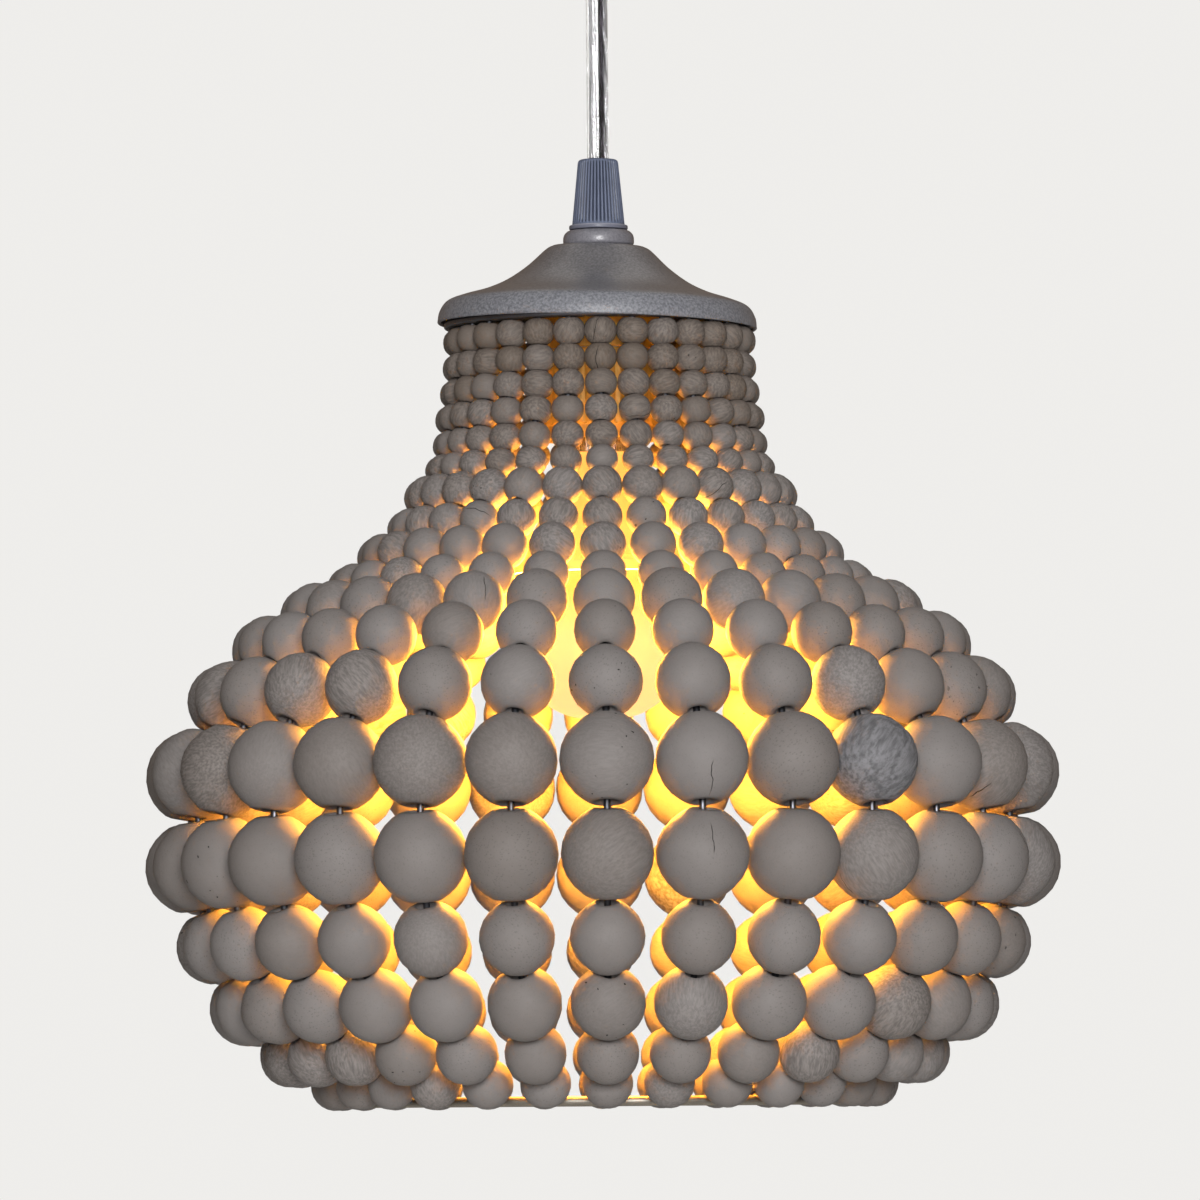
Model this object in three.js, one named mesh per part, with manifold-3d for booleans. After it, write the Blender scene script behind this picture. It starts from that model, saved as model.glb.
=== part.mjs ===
import * as THREE from 'three';
import { mergeVertices } from 'three/addons/utils/BufferGeometryUtils.js';
import Module from 'manifold-3d';

// A hanging lamp: a bell and ball shaped shade of wooden beads on stiff rib wires, under a spun
// metal cap, on a clear cord from a ceiling rose. Millimetres, +Z up, +X to the right, and the
// side that faces the viewer is -Y. The origin is the middle of the face that meets the ceiling.

// Clearance between pieces that touch, how far a cutting shape runs past what it cuts, and how
// near two corners lie when they are one.
const FIT = 0.3;
const OVERRUN = 1;
const SAME_PLACE = 0.0001;

// Ceiling rose.
const ROSE_DIAMETER = 84;
const ROSE_HEIGHT = 26;
const ROSE_ROUNDING = 7;
const ROSE_WALL = 1.6;
const BRACKET_WIDTH = 20;
const BRACKET_SHEET = 1.6;
const BRACKET_EAR_HEIGHT = 11;
const CEILING_HOLE_DIAMETER = 5;
const CEILING_HOLE_SPACING = 56;
const COVER_SCREW_DIAMETER = 3;
const COVER_SCREW_HEAD_DIAMETER = 6.4;
const COVER_SCREW_HEAD_HEIGHT = 2;
const COVER_SCREW_LENGTH = 8;
const COVER_SCREW_DROP = 7;
const TERMINAL_BLOCK_LENGTH = 27;
const TERMINAL_BLOCK_DEPTH = 16;
const TERMINAL_BLOCK_HEIGHT = 11;
const GLAND_FLANGE_DIAMETER = 18;
const GLAND_FLANGE_HEIGHT = 2.7;
const GLAND_WALL = 1.1;
const GLAND_THREAD_SPARE = 1.5;
const GLAND_NUT_WALL = 1.7;
const GLAND_NUT_HEIGHT = 3.5;

// Cord.
const CORD_DIAMETER = 7.2;
const CORD_DROP = 64.4;

// Cord grip, collar and the hollow nipple that ties the stack together.
const GRIP_TOP_DIAMETER = 13.3;
const GRIP_FOOT_DIAMETER = 17.6;
const GRIP_HEIGHT = 23.6;
const GRIP_ROUNDING = 1;
const GRIP_FLANGE_DIAMETER = 19.6;
const GRIP_FLANGE_HEIGHT = 1.4;
const GRIP_THREAD_DEPTH = 9;
const COLLAR_DIAMETER = 23.7;
const COLLAR_HEIGHT = 5.1;
const NIPPLE_WALL = 1.1;
const NIPPLE_ENTRY = 7;
const LOCK_NUT_WALL = 1.7;
const LOCK_NUT_HEIGHT = 3;

// Cap.
const CAP_TOP_DIAMETER = 31;
const CAP_HEIGHT = 26.4;
const CAP_SHEET = 1.2;
const CAP_OVERHANG = 1.4;

// Shade frame.
const HOOP_SHOWING = 0.9;
const TOP_HOOP_THICKNESS = 2.2;
const TOP_HOOP_INSET = 1.8;
const BOTTOM_HOOP_WIRE = 3.2;
const RIB_WIRE = 2.3;
const RIB_TAIL = 1;
const SPIDER_HUB_DIAMETER = 20;
const SPIDER_SHEET = 1.6;
const SPIDER_ARM_WIRE = 2.4;

// The shade across its belly, and the gaps between beads on a wire.
const SHADE_DIAMETER = 304.5;
const THREAD_GAP = 0.15;
const BELLY_GAP = 0.9;

// Lampholder.
const HOLDER_DIAMETER = 40;
const HOLDER_WALL = 2;
const DOME_HEIGHT = 28;
const DOME_CROWN_DIAMETER = 22;
const DOME_SHOULDER_DROP = 11;
const SKIRT_HEIGHT = 30;
const INSULATOR_HEIGHT = 12;
const SLEEVE_WALL = 0.6;
const SLEEVE_HEIGHT = 23;
const CONTACT_DIAMETER = 6;
const CONTACT_HEIGHT = 2.2;
const TERMINAL_SCREW_DIAMETER = 2.8;
const TERMINAL_SCREW_HEAD_DIAMETER = 5;
const TERMINAL_SCREW_HEAD_HEIGHT = 1.6;
const TERMINAL_SCREW_LENGTH = 5;
const TERMINAL_SCREW_SPACING = 20;

// Lamp.
const BASE_DIAMETER = 26.2;
const BASE_HEIGHT = 20;
const BASE_SHELL = 1;
const BASE_CONE_HEIGHT = 3.4;
const TIP_DIAMETER = 9;
const TIP_HEIGHT = 1.6;
const HOUSING_NECK_DIAMETER = 28;
const HOUSING_INSET = 0.5;
const HOUSING_HEIGHT = 40;
const HOUSING_WALL = 1.8;
const GLOBE_DIAMETER = 60;
const GLOBE_HEIGHT = 49;
const GLOBE_WALL = 1.6;
const BOARD_THICKNESS = 1.6;
const DRIVER_WIDTH = 16;
const DRIVER_HEIGHT = 26;

// Counts: strings in the shade, the rows of large beads that make its ball, the sides of a small and
// a large bead and of the bottom hoop's wire, the facets of the turned pieces, and the steps of a
// round end.
const STRANDS = 28;
const BALL_ROWS = 7;
const SMALL_BEAD_SIDES = 5;
const LARGE_BEAD_SIDES = 7;
const WIDE_FACETS = 28;
const FACETS = 16;
const FINE_FACETS = 12;
const HEX_SIDES = 6;
const HOOP_SIDES = 6;
const ROUND_STEPS = 4;
const SPIDER_ARMS = 3;

// The beads' diameters across the wire, as shares of the belly's beads.
const NECK_BEAD_SHARE = 0.34;
const SHOULDER_BEAD_SHARE = 0.4333;
const BELL_BEAD_SHARE = 0.5067;
const FLARE_BEAD_SHARE = 0.6667;
const UPPER_BEAD_SHARE = 0.8;
const BELLY_BEAD_SHARE = 1;
const LOWER_BEAD_SHARE = 0.8;
const TUCK_BEAD_SHARE = 0.6667;
const MOUTH_BEAD_SHARE = 0.5333;

// How tall each bead is along its wire, as a share of its diameter.
const FLAT_BEAD_SHARE = 0.843;
const OVAL_BEAD_SHARE = 0.923;
const ROUND_BEAD_SHARE = 0.98;

// How far apart the widest row's beads stand, as a share of their diameter.
const BELLY_PITCH_SHARE = 1.0245;

// Each row from the neck down: its bead, the bead's height, the spacing of its neighbours as a share
// of the bead, and the drop from the row above as a share of the length of wire between the two.
const ROW_SHARES = [
  [NECK_BEAD_SHARE, FLAT_BEAD_SHARE, 1.03, 0],
  [NECK_BEAD_SHARE, FLAT_BEAD_SHARE, 1.033, 1],
  [NECK_BEAD_SHARE, FLAT_BEAD_SHARE, 1.055, 0.99],
  [NECK_BEAD_SHARE, FLAT_BEAD_SHARE, 1.09, 0.985],
  [NECK_BEAD_SHARE, FLAT_BEAD_SHARE, 1.11, 0.99],
  [NECK_BEAD_SHARE, FLAT_BEAD_SHARE, 1.17, 0.95],
  [SHOULDER_BEAD_SHARE, OVAL_BEAD_SHARE, 1.015, 0.86],
  [SHOULDER_BEAD_SHARE, OVAL_BEAD_SHARE, 1.115, 0.87],
  [BELL_BEAD_SHARE, OVAL_BEAD_SHARE, 1.087, 0.73],
  [BELL_BEAD_SHARE, OVAL_BEAD_SHARE, 1.235, 0.7],
  [FLARE_BEAD_SHARE, ROUND_BEAD_SHARE, 1.088, 0.54],
  [FLARE_BEAD_SHARE, ROUND_BEAD_SHARE, 1.267, 0.55],
  [UPPER_BEAD_SHARE, ROUND_BEAD_SHARE, 1.176, 0.79],
  [BELLY_BEAD_SHARE, ROUND_BEAD_SHARE, 1.023, 0.945],
  [BELLY_BEAD_SHARE, ROUND_BEAD_SHARE, BELLY_PITCH_SHARE, 1],
  [LOWER_BEAD_SHARE, ROUND_BEAD_SHARE, 1.216, 0.99],
  [LOWER_BEAD_SHARE, ROUND_BEAD_SHARE, 1.114, 0.88],
  [TUCK_BEAD_SHARE, ROUND_BEAD_SHARE, 1.172, 0.735],
  [MOUTH_BEAD_SHARE, ROUND_BEAD_SHARE, 1.254, 0.54],
];

// How far a bead's two widest rings lie from its middle, as a share of its height.
const WIDEST_RING_SHARE = 0.2;

// The cap's outline from the edge of its top down to its lip: the share of the way from the top's
// radius out to the lip's, and the share of the height still left.
const CAP_PROFILE_SHARES = [
  [0, 1],
  [0.06, 0.95],
  [0.22, 0.735],
  [0.4, 0.553],
  [0.59, 0.428],
  [0.8, 0.337],
  [0.925, 0.261],
  [0.985, 0.129],
  [1, 0],
];

// The globe and the housing, as shares of their radius and height.
const GLOBE_PROFILE_SHARES = [
  [0.975, 1],
  [1, 0.8],
  [0.985, 0.6],
  [0.9, 0.36],
  [0.7, 0.16],
  [0.4, 0.045],
  [0, 0],
];
const HOUSING_PROFILE_SHARES = [
  [0, 1],
  [0.04, 0.86],
  [0.3, 0.55],
  [0.74, 0.22],
  [1, 0.08],
  [1, 0],
];

// Radii and levels worked out from the sizes above, from the ceiling down.
const cordRadius = CORD_DIAMETER / 2;
const cordBore = cordRadius + FIT;
const nippleRadius = cordBore + NIPPLE_WALL;
const nippleHole = nippleRadius + FIT;
const glandRadius = cordBore + GLAND_WALL;
const glandHole = glandRadius + FIT;
const roseRadius = ROSE_DIAMETER / 2;
const roseFloor = ROSE_WALL - ROSE_HEIGHT;
const glandNutFoot = roseFloor + FIT;
const glandTop = glandNutFoot + GLAND_NUT_HEIGHT + GLAND_THREAD_SPARE;
const cordMouth = -ROSE_HEIGHT - FIT - GLAND_FLANGE_HEIGHT;
const gripTop = cordMouth - CORD_DROP;
const gripFoot = gripTop - GRIP_HEIGHT;
const collarTop = gripFoot - FIT;
const capTop = collarTop - COLLAR_HEIGHT - FIT;
const capLip = capTop - CAP_HEIGHT;
const spiderTop = capTop - CAP_SHEET - FIT;
const lockNutTop = spiderTop - SPIDER_SHEET - FIT;
const domeTop = lockNutTop - LOCK_NUT_HEIGHT - FIT;
const domeFoot = domeTop - DOME_HEIGHT;
const skirtTop = domeFoot - FIT;
const skirtFoot = skirtTop - SKIRT_HEIGHT;
const insulatorTop = domeFoot + INSULATOR_HEIGHT / 2;
const insulatorFoot = insulatorTop - INSULATOR_HEIGHT;
const insulatorRadius = HOLDER_DIAMETER / 2 - HOLDER_WALL - FIT;
const contactFoot = insulatorFoot - FIT - CONTACT_HEIGHT;
const tipTop = contactFoot - FIT;
const coneTop = tipTop - TIP_HEIGHT - FIT;
const baseTop = coneTop - BASE_CONE_HEIGHT - FIT;
const baseFoot = baseTop - BASE_HEIGHT;
const housingTop = baseFoot - FIT;
const housingFoot = housingTop - HOUSING_HEIGHT;
const globeTop = housingFoot - FIT;
const columnShare = 2 * Math.sin(Math.PI / STRANDS);
const bellyBead = SHADE_DIAMETER / (1 + (2 * BELLY_PITCH_SHARE) / columnShare);
const neckBead = bellyBead * NECK_BEAD_SHARE;
const neckRadius = (neckBead * ROW_SHARES[0][2]) / columnShare;
const capRadius = neckRadius + neckBead / 2 + CAP_OVERHANG;
const topHoopOuter = capRadius - CAP_SHEET - FIT;
const topHoopInner = neckRadius - TOP_HOOP_INSET;
const topHoopFoot = capLip - HOOP_SHOWING;
const strandTop = topHoopFoot - FIT;

const wasm = await Module();
wasm.setup();

// Joins a geometry's shared corners, drops faces without area and turns its faces outwards.
function tidySolid(geometry) {
  const bare = geometry.clone();
  bare.deleteAttribute('normal');
  bare.deleteAttribute('uv');
  const merged = mergeVertices(bare, SAME_PLACE);
  const corners = Array.from(merged.index.array);
  const faces = [];
  for (let i = 0; i < corners.length; i += 3) {
    const face = corners.slice(i, i + 3);
    if (new Set(face).size === 3) {
      faces.push(face);
    }
  }
  merged.setIndex(faces.flat());
  if (signedVolume(merged) < 0) {
    merged.setIndex(faces.map((face) => face.reverse()).flat());
  }
  return merged;
}

// Six times the volume inside a closed geometry, negative when its faces point inwards.
function signedVolume(geometry) {
  const position = geometry.attributes.position;
  const index = geometry.index.array;
  const corner = [new THREE.Vector3(), new THREE.Vector3(), new THREE.Vector3()];
  let total = 0;
  for (let i = 0; i < index.length; i += 3) {
    corner.forEach((point, k) => point.fromBufferAttribute(position, index[i + k]));
    total += corner[0].dot(corner[1].clone().cross(corner[2]));
  }
  return total;
}

function toManifold(geometry) {
  const solid = tidySolid(geometry);
  const vertProperties = new Float32Array(solid.attributes.position.array);
  const triVerts = new Uint32Array(solid.index.array);
  return new wasm.Manifold(new wasm.Mesh({ numProp: 3, vertProperties, triVerts }));
}

function fromManifold(manifold) {
  const mesh = manifold.getMesh();
  const geometry = new THREE.BufferGeometry();
  geometry.setAttribute('position', new THREE.BufferAttribute(mesh.vertProperties, 3));
  geometry.setIndex(new THREE.BufferAttribute(mesh.triVerts, 1));
  return geometry;
}

function cut(geometry, tools) {
  return fromManifold(tools.reduce((body, tool) => body.subtract(toManifold(tool)), toManifold(geometry)));
}

function join(geometries) {
  return fromManifold(geometries.map(toManifold).reduce((body, next) => body.add(next)));
}

// A turned piece about the Z axis, from [radius, height] points. A profile that doesn't start and
// end on the axis is closed on itself.
function turned(points, facets = FACETS) {
  const profile = points.map(([radius, height]) => new THREE.Vector2(radius, height));
  if (points[0][0] > 0) {
    profile.push(profile[0].clone());
  }
  const geometry = new THREE.LatheGeometry(profile, facets);
  geometry.rotateX(Math.PI / 2);
  return tidySolid(geometry);
}

// A plain ring between two radii and two levels.
function ring(inner, outer, foot, top, facets = FACETS) {
  return turned([[inner, foot], [outer, foot], [outer, top], [inner, top]], facets);
}

// A round bar on the Z axis.
function bar(radius, foot, top, facets = FACETS) {
  return turned([[0, foot], [radius, foot], [radius, top], [0, top]], facets);
}

function block(length, depth, height, centre) {
  const geometry = new THREE.BoxGeometry(length, depth, height);
  geometry.translate(...centre);
  return geometry;
}

// A nut by the radius of its hole and its wall at the middle of a flat.
function hexNut(hole, wall, foot, top) {
  const body = bar((hole + wall) / Math.cos(Math.PI / HEX_SIDES), foot, top, HEX_SIDES);
  return cut(body, [bar(hole, foot - OVERRUN, top + OVERRUN, FINE_FACETS)]);
}

// A screw on the Z axis, head up, with the underside of its head at zero.
function screw(shank, length, head, headHeight) {
  return turned([[0, -length], [shank / 2, -length], [shank / 2, 0], [head / 2, 0],
    [head / 2, headHeight], [0, headHeight]], FINE_FACETS);
}

function finish(colour, roughness, metalness = 0) {
  return { color: new THREE.Color(colour), roughness, metalness };
}

const finishes = {
  enamel: finish('#6f7178', 0.45, 0.3),
  greyPlastic: finish('#5d6472', 0.5),
  blackPlastic: finish('#26262a', 0.5),
  whitePlastic: finish('#e6dfd2', 0.5),
  opal: finish('#fff1d0', 0.3),
  ceramic: finish('#ece8df', 0.35),
  steel: finish('#9a9da2', 0.35, 1),
  brass: finish('#c9a45c', 0.3, 1),
  board: finish('#dfe3e0', 0.5),
  clearSheath: finish('#d9dadb', 0.15),
  paintedWood: finish('#80766f', 0.7),
};

const lamp = new THREE.Group();

function place(name, geometry, look, parent = lamp) {
  const mesh = new THREE.Mesh(geometry, new THREE.MeshStandardMaterial(look));
  mesh.name = name;
  parent.add(mesh);
  return mesh;
}

// Ceiling rose: a turned cup that hides the bracket, with a hole in its floor for the gland and
// one in each side for the screws that hold it to the bracket's ears.
function addRose() {
  const screwLevel = -COVER_SCREW_DROP;
  const earFace = Math.sqrt((roseRadius - ROSE_WALL) ** 2 - (BRACKET_WIDTH / 2) ** 2) - FIT;
  const sideHole = (radius) => {
    const tool = bar(radius, -roseRadius - OVERRUN, roseRadius + OVERRUN, FINE_FACETS);
    return tool.rotateY(Math.PI / 2).translate(0, 0, screwLevel);
  };

  const cup = turned([
    [glandHole, -ROSE_HEIGHT],
    [roseRadius - ROSE_ROUNDING, -ROSE_HEIGHT],
    [roseRadius - ROSE_ROUNDING * (1 - Math.SQRT1_2), -ROSE_HEIGHT + ROSE_ROUNDING * (1 - Math.SQRT1_2)],
    [roseRadius, -ROSE_HEIGHT + ROSE_ROUNDING],
    [roseRadius, 0],
    [roseRadius - ROSE_WALL, 0],
    [roseRadius - ROSE_WALL, -ROSE_HEIGHT + ROSE_ROUNDING],
    [roseRadius - ROSE_ROUNDING, roseFloor],
    [glandHole, roseFloor],
  ], WIDE_FACETS);
  place('rose_cover', cut(cup, [sideHole(COVER_SCREW_DIAMETER / 2 + FIT)]), finishes.enamel);

  const outline = new THREE.Shape([
    new THREE.Vector2(-earFace, 0),
    new THREE.Vector2(-earFace, -BRACKET_EAR_HEIGHT),
    new THREE.Vector2(BRACKET_SHEET - earFace, -BRACKET_EAR_HEIGHT),
    new THREE.Vector2(BRACKET_SHEET - earFace, -BRACKET_SHEET),
    new THREE.Vector2(earFace - BRACKET_SHEET, -BRACKET_SHEET),
    new THREE.Vector2(earFace - BRACKET_SHEET, -BRACKET_EAR_HEIGHT),
    new THREE.Vector2(earFace, -BRACKET_EAR_HEIGHT),
    new THREE.Vector2(earFace, 0),
  ]);
  const strap = new THREE.ExtrudeGeometry(outline, { depth: BRACKET_WIDTH, bevelEnabled: false });
  strap.translate(0, 0, -BRACKET_WIDTH / 2);
  strap.rotateX(Math.PI / 2);
  const ceilingHoles = [-1, 1].map((side) => {
    const tool = bar(CEILING_HOLE_DIAMETER / 2, -BRACKET_SHEET - OVERRUN, OVERRUN, FINE_FACETS);
    return tool.translate((side * CEILING_HOLE_SPACING) / 2, 0, 0);
  });
  const screwHoles = sideHole(COVER_SCREW_DIAMETER / 2 + FIT);
  place('ceiling_bracket', cut(strap, [...ceilingHoles, screwHoles]), finishes.steel);

  [-1, 1].forEach((side, index) => {
    const geometry = screw(COVER_SCREW_DIAMETER, COVER_SCREW_LENGTH, COVER_SCREW_HEAD_DIAMETER,
      COVER_SCREW_HEAD_HEIGHT);
    const mesh = place(`cover_screw_${index + 1}`, geometry, finishes.steel);
    mesh.rotation.y = (side * Math.PI) / 2;
    mesh.position.set(side * (roseRadius + FIT), 0, screwLevel);
  });

  place('terminal_block', block(TERMINAL_BLOCK_LENGTH, TERMINAL_BLOCK_DEPTH, TERMINAL_BLOCK_HEIGHT,
    [0, 0, -BRACKET_SHEET - FIT - TERMINAL_BLOCK_HEIGHT / 2]), finishes.whitePlastic);

  place('cord_gland', turned([
    [cordBore, cordMouth],
    [GLAND_FLANGE_DIAMETER / 2 - GLAND_FLANGE_HEIGHT / 2, cordMouth],
    [GLAND_FLANGE_DIAMETER / 2, cordMouth + GLAND_FLANGE_HEIGHT / 2],
    [GLAND_FLANGE_DIAMETER / 2, -ROSE_HEIGHT - FIT],
    [glandRadius, -ROSE_HEIGHT - FIT],
    [glandRadius, glandTop],
    [cordBore, glandTop],
  ]), finishes.greyPlastic);
  place('gland_nut', hexNut(glandHole, GLAND_NUT_WALL, glandNutFoot,
    glandNutFoot + GLAND_NUT_HEIGHT), finishes.greyPlastic);
}

// The cord in three stretches. The free one has round ends, centred where it can lean.
function addCord() {
  const blockFoot = -BRACKET_SHEET - FIT - TERMINAL_BLOCK_HEIGHT;
  place('rose_cord', bar(cordRadius, cordMouth, blockFoot - FIT, FINE_FACETS), finishes.clearSheath);

  const half = (CORD_DROP - FIT - FIT) / 2;
  const end = Array.from({ length: ROUND_STEPS + 1 }, (unused, step) => {
    const angle = (step / ROUND_STEPS) * (Math.PI / 2);
    return [cordRadius * Math.sin(angle), half - cordRadius + cordRadius * Math.cos(angle)];
  });
  end[0][0] = 0;
  const lower = end.map(([radius, height]) => [radius, -height]).reverse();
  const free = place('free_cord', turned([...end, ...lower], FINE_FACETS), finishes.clearSheath);
  free.position.z = (cordMouth + gripTop) / 2;

  place('lamp_cord', bar(cordRadius, insulatorTop + FIT, gripTop, FINE_FACETS), finishes.clearSheath);
}

// The stack on top of the shade: cord grip, collar, cap, spider and lock nut on a hollow nipple.
function addStack() {
  place('cord_grip', turned([
    [cordBore, gripTop],
    [GRIP_TOP_DIAMETER / 2 - GRIP_ROUNDING, gripTop],
    [GRIP_TOP_DIAMETER / 2, gripTop - GRIP_ROUNDING],
    [GRIP_FOOT_DIAMETER / 2, gripFoot + GRIP_FLANGE_HEIGHT],
    [GRIP_FLANGE_DIAMETER / 2, gripFoot + GRIP_FLANGE_HEIGHT],
    [GRIP_FLANGE_DIAMETER / 2, gripFoot],
    [nippleHole, gripFoot],
    [nippleHole, gripFoot + GRIP_THREAD_DEPTH],
    [cordBore, gripFoot + GRIP_THREAD_DEPTH],
  ]), finishes.greyPlastic);

  const collarRadius = COLLAR_DIAMETER / 2;
  const bulge = COLLAR_HEIGHT / 2;
  place('collar', turned([
    [nippleHole, collarTop],
    [collarRadius - bulge, collarTop],
    [collarRadius - bulge * (1 - Math.SQRT1_2), collarTop - bulge * (1 - Math.SQRT1_2)],
    [collarRadius, collarTop - bulge],
    [collarRadius, collarTop - COLLAR_HEIGHT + bulge / 2],
    [collarRadius - bulge / 2, collarTop - COLLAR_HEIGHT],
    [nippleHole, collarTop - COLLAR_HEIGHT],
  ]), finishes.enamel);

  const nippleTop = gripFoot + GRIP_THREAD_DEPTH - FIT;
  place('threaded_nipple', ring(cordBore, nippleRadius, domeTop - NIPPLE_ENTRY, nippleTop, FINE_FACETS),
    finishes.steel);
  place('lock_nut', hexNut(nippleHole, LOCK_NUT_WALL, lockNutTop - LOCK_NUT_HEIGHT, lockNutTop),
    finishes.steel);
}

// The spun cap is one sheet: its outline, and the same outline moved in by the sheet's thickness.
function addCap() {
  const topRadius = CAP_TOP_DIAMETER / 2;
  const outer = CAP_PROFILE_SHARES.map(([out, up]) => new THREE.Vector2(
    topRadius + out * (capRadius - topRadius), capLip + up * CAP_HEIGHT));
  const inner = outer.map((point, index) => {
    const before = outer[Math.max(index - 1, 0)];
    const after = outer[Math.min(index + 1, outer.length - 1)];
    const along = after.clone().sub(before).normalize();
    return new THREE.Vector2(point.x + along.y * CAP_SHEET, point.y - along.x * CAP_SHEET);
  });
  inner[0].y = capTop - CAP_SHEET;
  inner[inner.length - 1].set(capRadius - CAP_SHEET, capLip);
  const points = [...outer, ...inner.reverse()].map((point) => [point.x, point.y]);
  place('shade_cap', turned([[nippleHole, capTop], ...points, [nippleHole, capTop - CAP_SHEET]],
    WIDE_FACETS), finishes.enamel);
}

// The hub hangs under the cap's top, and its arms carry the top hoop.
function addFrame() {
  const hub = ring(nippleHole, SPIDER_HUB_DIAMETER / 2, spiderTop - SPIDER_SHEET, spiderTop);
  const root = (SPIDER_HUB_DIAMETER / 2 + nippleHole) / 2;
  const half = SPIDER_ARM_WIRE / 2;
  const end = new THREE.Vector2(topHoopInner - FIT, topHoopFoot + TOP_HOOP_THICKNESS / 2);
  const arms = Array.from({ length: SPIDER_ARMS }, (unused, arm) => {
    const shape = new THREE.Shape([
      new THREE.Vector2(root, spiderTop - SPIDER_SHEET),
      new THREE.Vector2(SPIDER_HUB_DIAMETER / 2, spiderTop - SPIDER_SHEET),
      new THREE.Vector2(end.x, end.y - half),
      new THREE.Vector2(end.x, end.y + half),
      new THREE.Vector2(SPIDER_HUB_DIAMETER / 2, spiderTop),
      new THREE.Vector2(root, spiderTop),
    ]);
    const geometry = new THREE.ExtrudeGeometry(shape, { depth: SPIDER_ARM_WIRE, bevelEnabled: false });
    geometry.translate(0, 0, -half);
    geometry.rotateX(Math.PI / 2);
    return geometry.rotateZ(Math.PI / 2 + (arm * 2 * Math.PI) / SPIDER_ARMS);
  });
  place('spider', join([hub, ...arms]), finishes.steel);

  place('top_hoop', ring(topHoopInner, topHoopOuter, topHoopFoot, topHoopFoot + TOP_HOOP_THICKNESS,
    WIDE_FACETS), finishes.steel);
}

// The beads' centres, radii and heights from the neck down, in the plane of one string.
function strandRows() {
  const rows = [];
  ROW_SHARES.forEach(([beadShare, heightShare, pitchShare, dropShare], index) => {
    const width = bellyBead * beadShare;
    const height = width * heightShare;
    const radius = (width * pitchShare) / columnShare;
    const above = rows[index - 1];
    let level = strandTop - height / 2;
    if (above) {
      const gap = width === above.width && width === bellyBead ? BELLY_GAP : THREAD_GAP;
      level = above.level - ((height + above.height) / 2 + gap) * dropShare;
    }
    rows.push({ width, height, radius, level, centre: new THREE.Vector2(radius, level) });
  });
  return rows;
}

// The faces between two rings that may differ in their number of sides: at each step the ring whose
// next corner comes first moves on by one side.
function bridge(upper, lower) {
  const faces = [];
  let a = 0;
  let b = 0;
  while (a < upper.sides || b < lower.sides) {
    faces.push(upper.first + (a % upper.sides), lower.first + (b % lower.sides));
    if ((a + 1) / upper.sides <= (b + 1) / lower.sides) {
      a += 1;
      faces.push(upper.first + (a % upper.sides));
    } else {
      b += 1;
      faces.push(lower.first + (b % lower.sides));
    }
  }
  return faces;
}

// One string as a single skin of rings: a waist of bare wire between two beads, and the two widest
// rings of each bead between its waists. Every ring has a corner on its outward side.
function strandGeometry(rows) {
  const wire = RIB_WIRE / 2;
  const last = rows.length - 1;
  const down = rows.map((row, index) => {
    const before = rows[Math.max(index - 1, 0)].centre;
    const after = rows[Math.min(index + 1, last)].centre;
    return after.clone().sub(before).normalize();
  });
  down[0].set(0, -1);
  const tail = rows[last].centre.clone().sub(rows[last - 1].centre).normalize();
  const rings = [];
  const addRing = (centre, along, radius, sides) => {
    const before = rings[rings.length - 1];
    const first = before ? before.first + before.sides : 0;
    rings.push({ centre, along, radius, sides, first });
  };
  addRing(new THREE.Vector2(rows[0].radius, strandTop), down[0], wire, SMALL_BEAD_SIDES);
  rows.forEach((row, index) => {
    const sides = index < rows.length - BALL_ROWS ? SMALL_BEAD_SIDES : LARGE_BEAD_SIDES;
    [-1, 1].forEach((end) => {
      const centre = row.centre.clone().addScaledVector(down[index], end * WIDEST_RING_SHARE * row.height);
      addRing(centre, down[index], row.width / 2, sides);
    });
    if (index < last) {
      const next = rows[index + 1];
      const along = next.centre.clone().sub(row.centre);
      const centre = row.centre.clone().addScaledVector(along, row.height / (row.height + next.height));
      addRing(centre, along.normalize(), wire, sides);
    }
  });
  [rows[last].height / 2, rows[last].height / 2 + RIB_TAIL].forEach((distance) => {
    addRing(rows[last].centre.clone().addScaledVector(tail, distance), tail, wire, LARGE_BEAD_SIDES);
  });

  const positions = rings.flatMap(({ centre, along, radius, sides }) => (
    Array.from({ length: sides }, (unused, side) => {
      const angle = (side * 2 * Math.PI) / sides;
      const out = radius * Math.cos(angle);
      return [centre.x - along.y * out, radius * Math.sin(angle), centre.y + along.x * out];
    })));
  const index = rings.slice(1).flatMap((lower, level) => bridge(rings[level], lower));
  const foot = rings[rings.length - 1];
  for (let side = 1; side < rings[0].sides - 1; side += 1) {
    index.push(0, side, side + 1);
  }
  for (let side = 1; side < foot.sides - 1; side += 1) {
    index.push(foot.first, foot.first + side + 1, foot.first + side);
  }
  const geometry = new THREE.BufferGeometry();
  geometry.setAttribute('position', new THREE.Float32BufferAttribute(positions.flat(), 3));
  geometry.setIndex(index);
  return tidySolid(geometry);
}

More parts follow.
